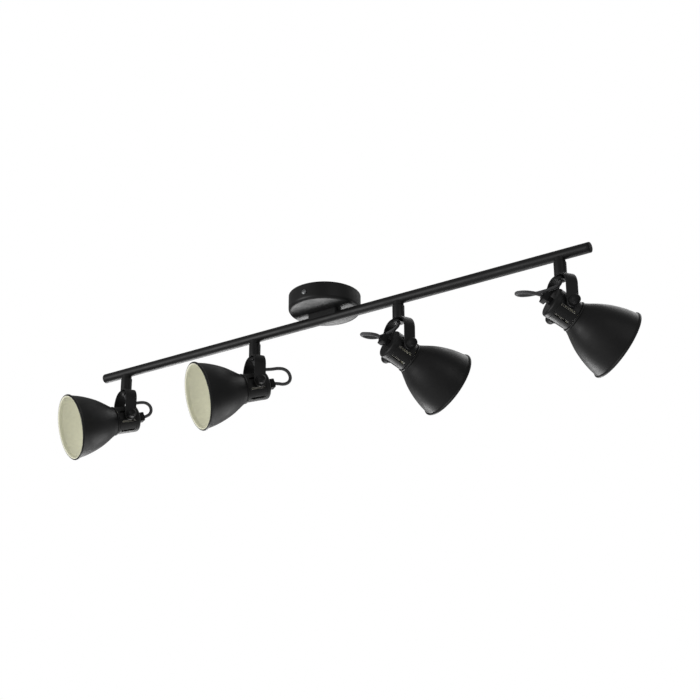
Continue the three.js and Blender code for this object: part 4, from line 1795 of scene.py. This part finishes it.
@dataclass(frozen=True)
class Studio:
    """The camera under the bar, the pale floor of the room, a white surround and soft lights."""

    eye: Vector = Vector((1.06407, -1.57194, -0.88535))
    heading: float = 33.04
    rise: float = 22.98
    roll: float = 0.17
    lens: float = 77.52
    sensor: float = 36.0
    floor_drop: float = 2.4
    floor_size: float = 14.0
    surround: float = 0.30

    def build(self) -> None:
        """Sets up the camera, the floor, the surround and the lights."""
        self.camera()
        self.floor()
        self.world()
        bpy.context.scene.view_settings.view_transform = "Standard"
        target = (CAD_BOX[0] + CAD_BOX[1]) / 2
        for box in (
            Softbox("key_softbox", Vector((-1.5, -2.3, -0.5)), 1.5, 1.5, 54.0),
            Softbox("low_softbox", Vector((-1.7, 1.7, -1.3)), 1.4, 1.2, 56.0),
            Softbox("back_softbox", Vector((0.5, 2.2, -1.3)), 1.8, 1.2, 28.0),
            Softbox("fill_softbox", Vector((2.1, -1.0, 0.4)), 1.2, 1.2, 6.0),
            Softbox("top_softbox", Vector((0.4, 1.6, 1.6)), 1.6, 1.0, 14.0),
        ):
            box.build(target)

    def camera(self) -> None:
        """Stands the camera below the bar, looking up at it."""
        yaw, pitch, roll = (math.radians(angle) for angle in (self.heading, self.rise, self.roll))
        ahead = Vector((-math.sin(yaw) * math.cos(pitch), math.cos(yaw) * math.cos(pitch), math.sin(pitch)))
        level = ahead.cross(Vector((0, 0, 1))).normalized()
        down = ahead.cross(level)
        right = level * math.cos(roll) + down * math.sin(roll)
        up = level * math.sin(roll) - down * math.cos(roll)
        lens = bpy.data.cameras.new("camera")
        lens.lens = self.lens
        lens.sensor_width = self.sensor
        lens.clip_start, lens.clip_end = 0.05, 50.0
        made = bpy.data.objects.new("camera", lens)
        made.matrix_world = Matrix.Translation(self.eye) @ Matrix((right, up, -ahead)).transposed().to_4x4()
        bpy.context.scene.collection.objects.link(made)
        bpy.context.scene.camera = made

    def floor(self) -> None:
        """Lays the room's pale floor, a storey below the ceiling."""
        half = self.floor_size / 2
        form = Form()
        form.face(form.ring(Vector((x, y, -self.floor_drop)) for x, y in
                            ((-half, -half), (half, -half), (half, half), (-half, half))))
        made = form.piece("studio_floor")
        material = bpy.data.materials.new("pale_floor")
        material.use_nodes = True
        nodes = Nodes(material.node_tree)
        place = nodes.add("TexCoord").outputs["Object"]
        tone = nodes.mixed(nodes.noise(place, 1.5), (0.86, 0.86, 0.86, 1.0), (0.9, 0.9, 0.9, 1.0))
        nodes.feed(material.node_tree.nodes["Principled BSDF"], Base_Color=tone, Roughness=0.8)
        made.data.materials.append(material)

    def world(self) -> None:
        """Surrounds the object with soft white, brighter where it is seen than where it lights."""
        world = bpy.data.worlds.new("white_surround")
        bpy.context.scene.world = world
        world.use_nodes = True
        nodes = Nodes(world.node_tree)
        seen = nodes.add("LightPath").outputs["Is Camera Ray"]
        background = world.node_tree.nodes["Background"]
        strength = nodes.mapped(seen, 0.0, 1.0, self.surround, 1.0)
        nodes.feed(background, Color=(1.0, 1.0, 1.0, 1.0), Strength=strength)


def main() -> None:
    """Builds the studio, the cords and then every piece of the fixture."""
    logging.basicConfig(level=logging.INFO, format="%(name)s: %(message)s")
    Studio().build()
    for place in PLACES:
        BraidedCord().build(place)
    Canopy().build()
    Bar().build()
    for place in PLACES:
        Hanger(place).build()
        LampHead(place).build()


if __name__ == "__main__":
    main()
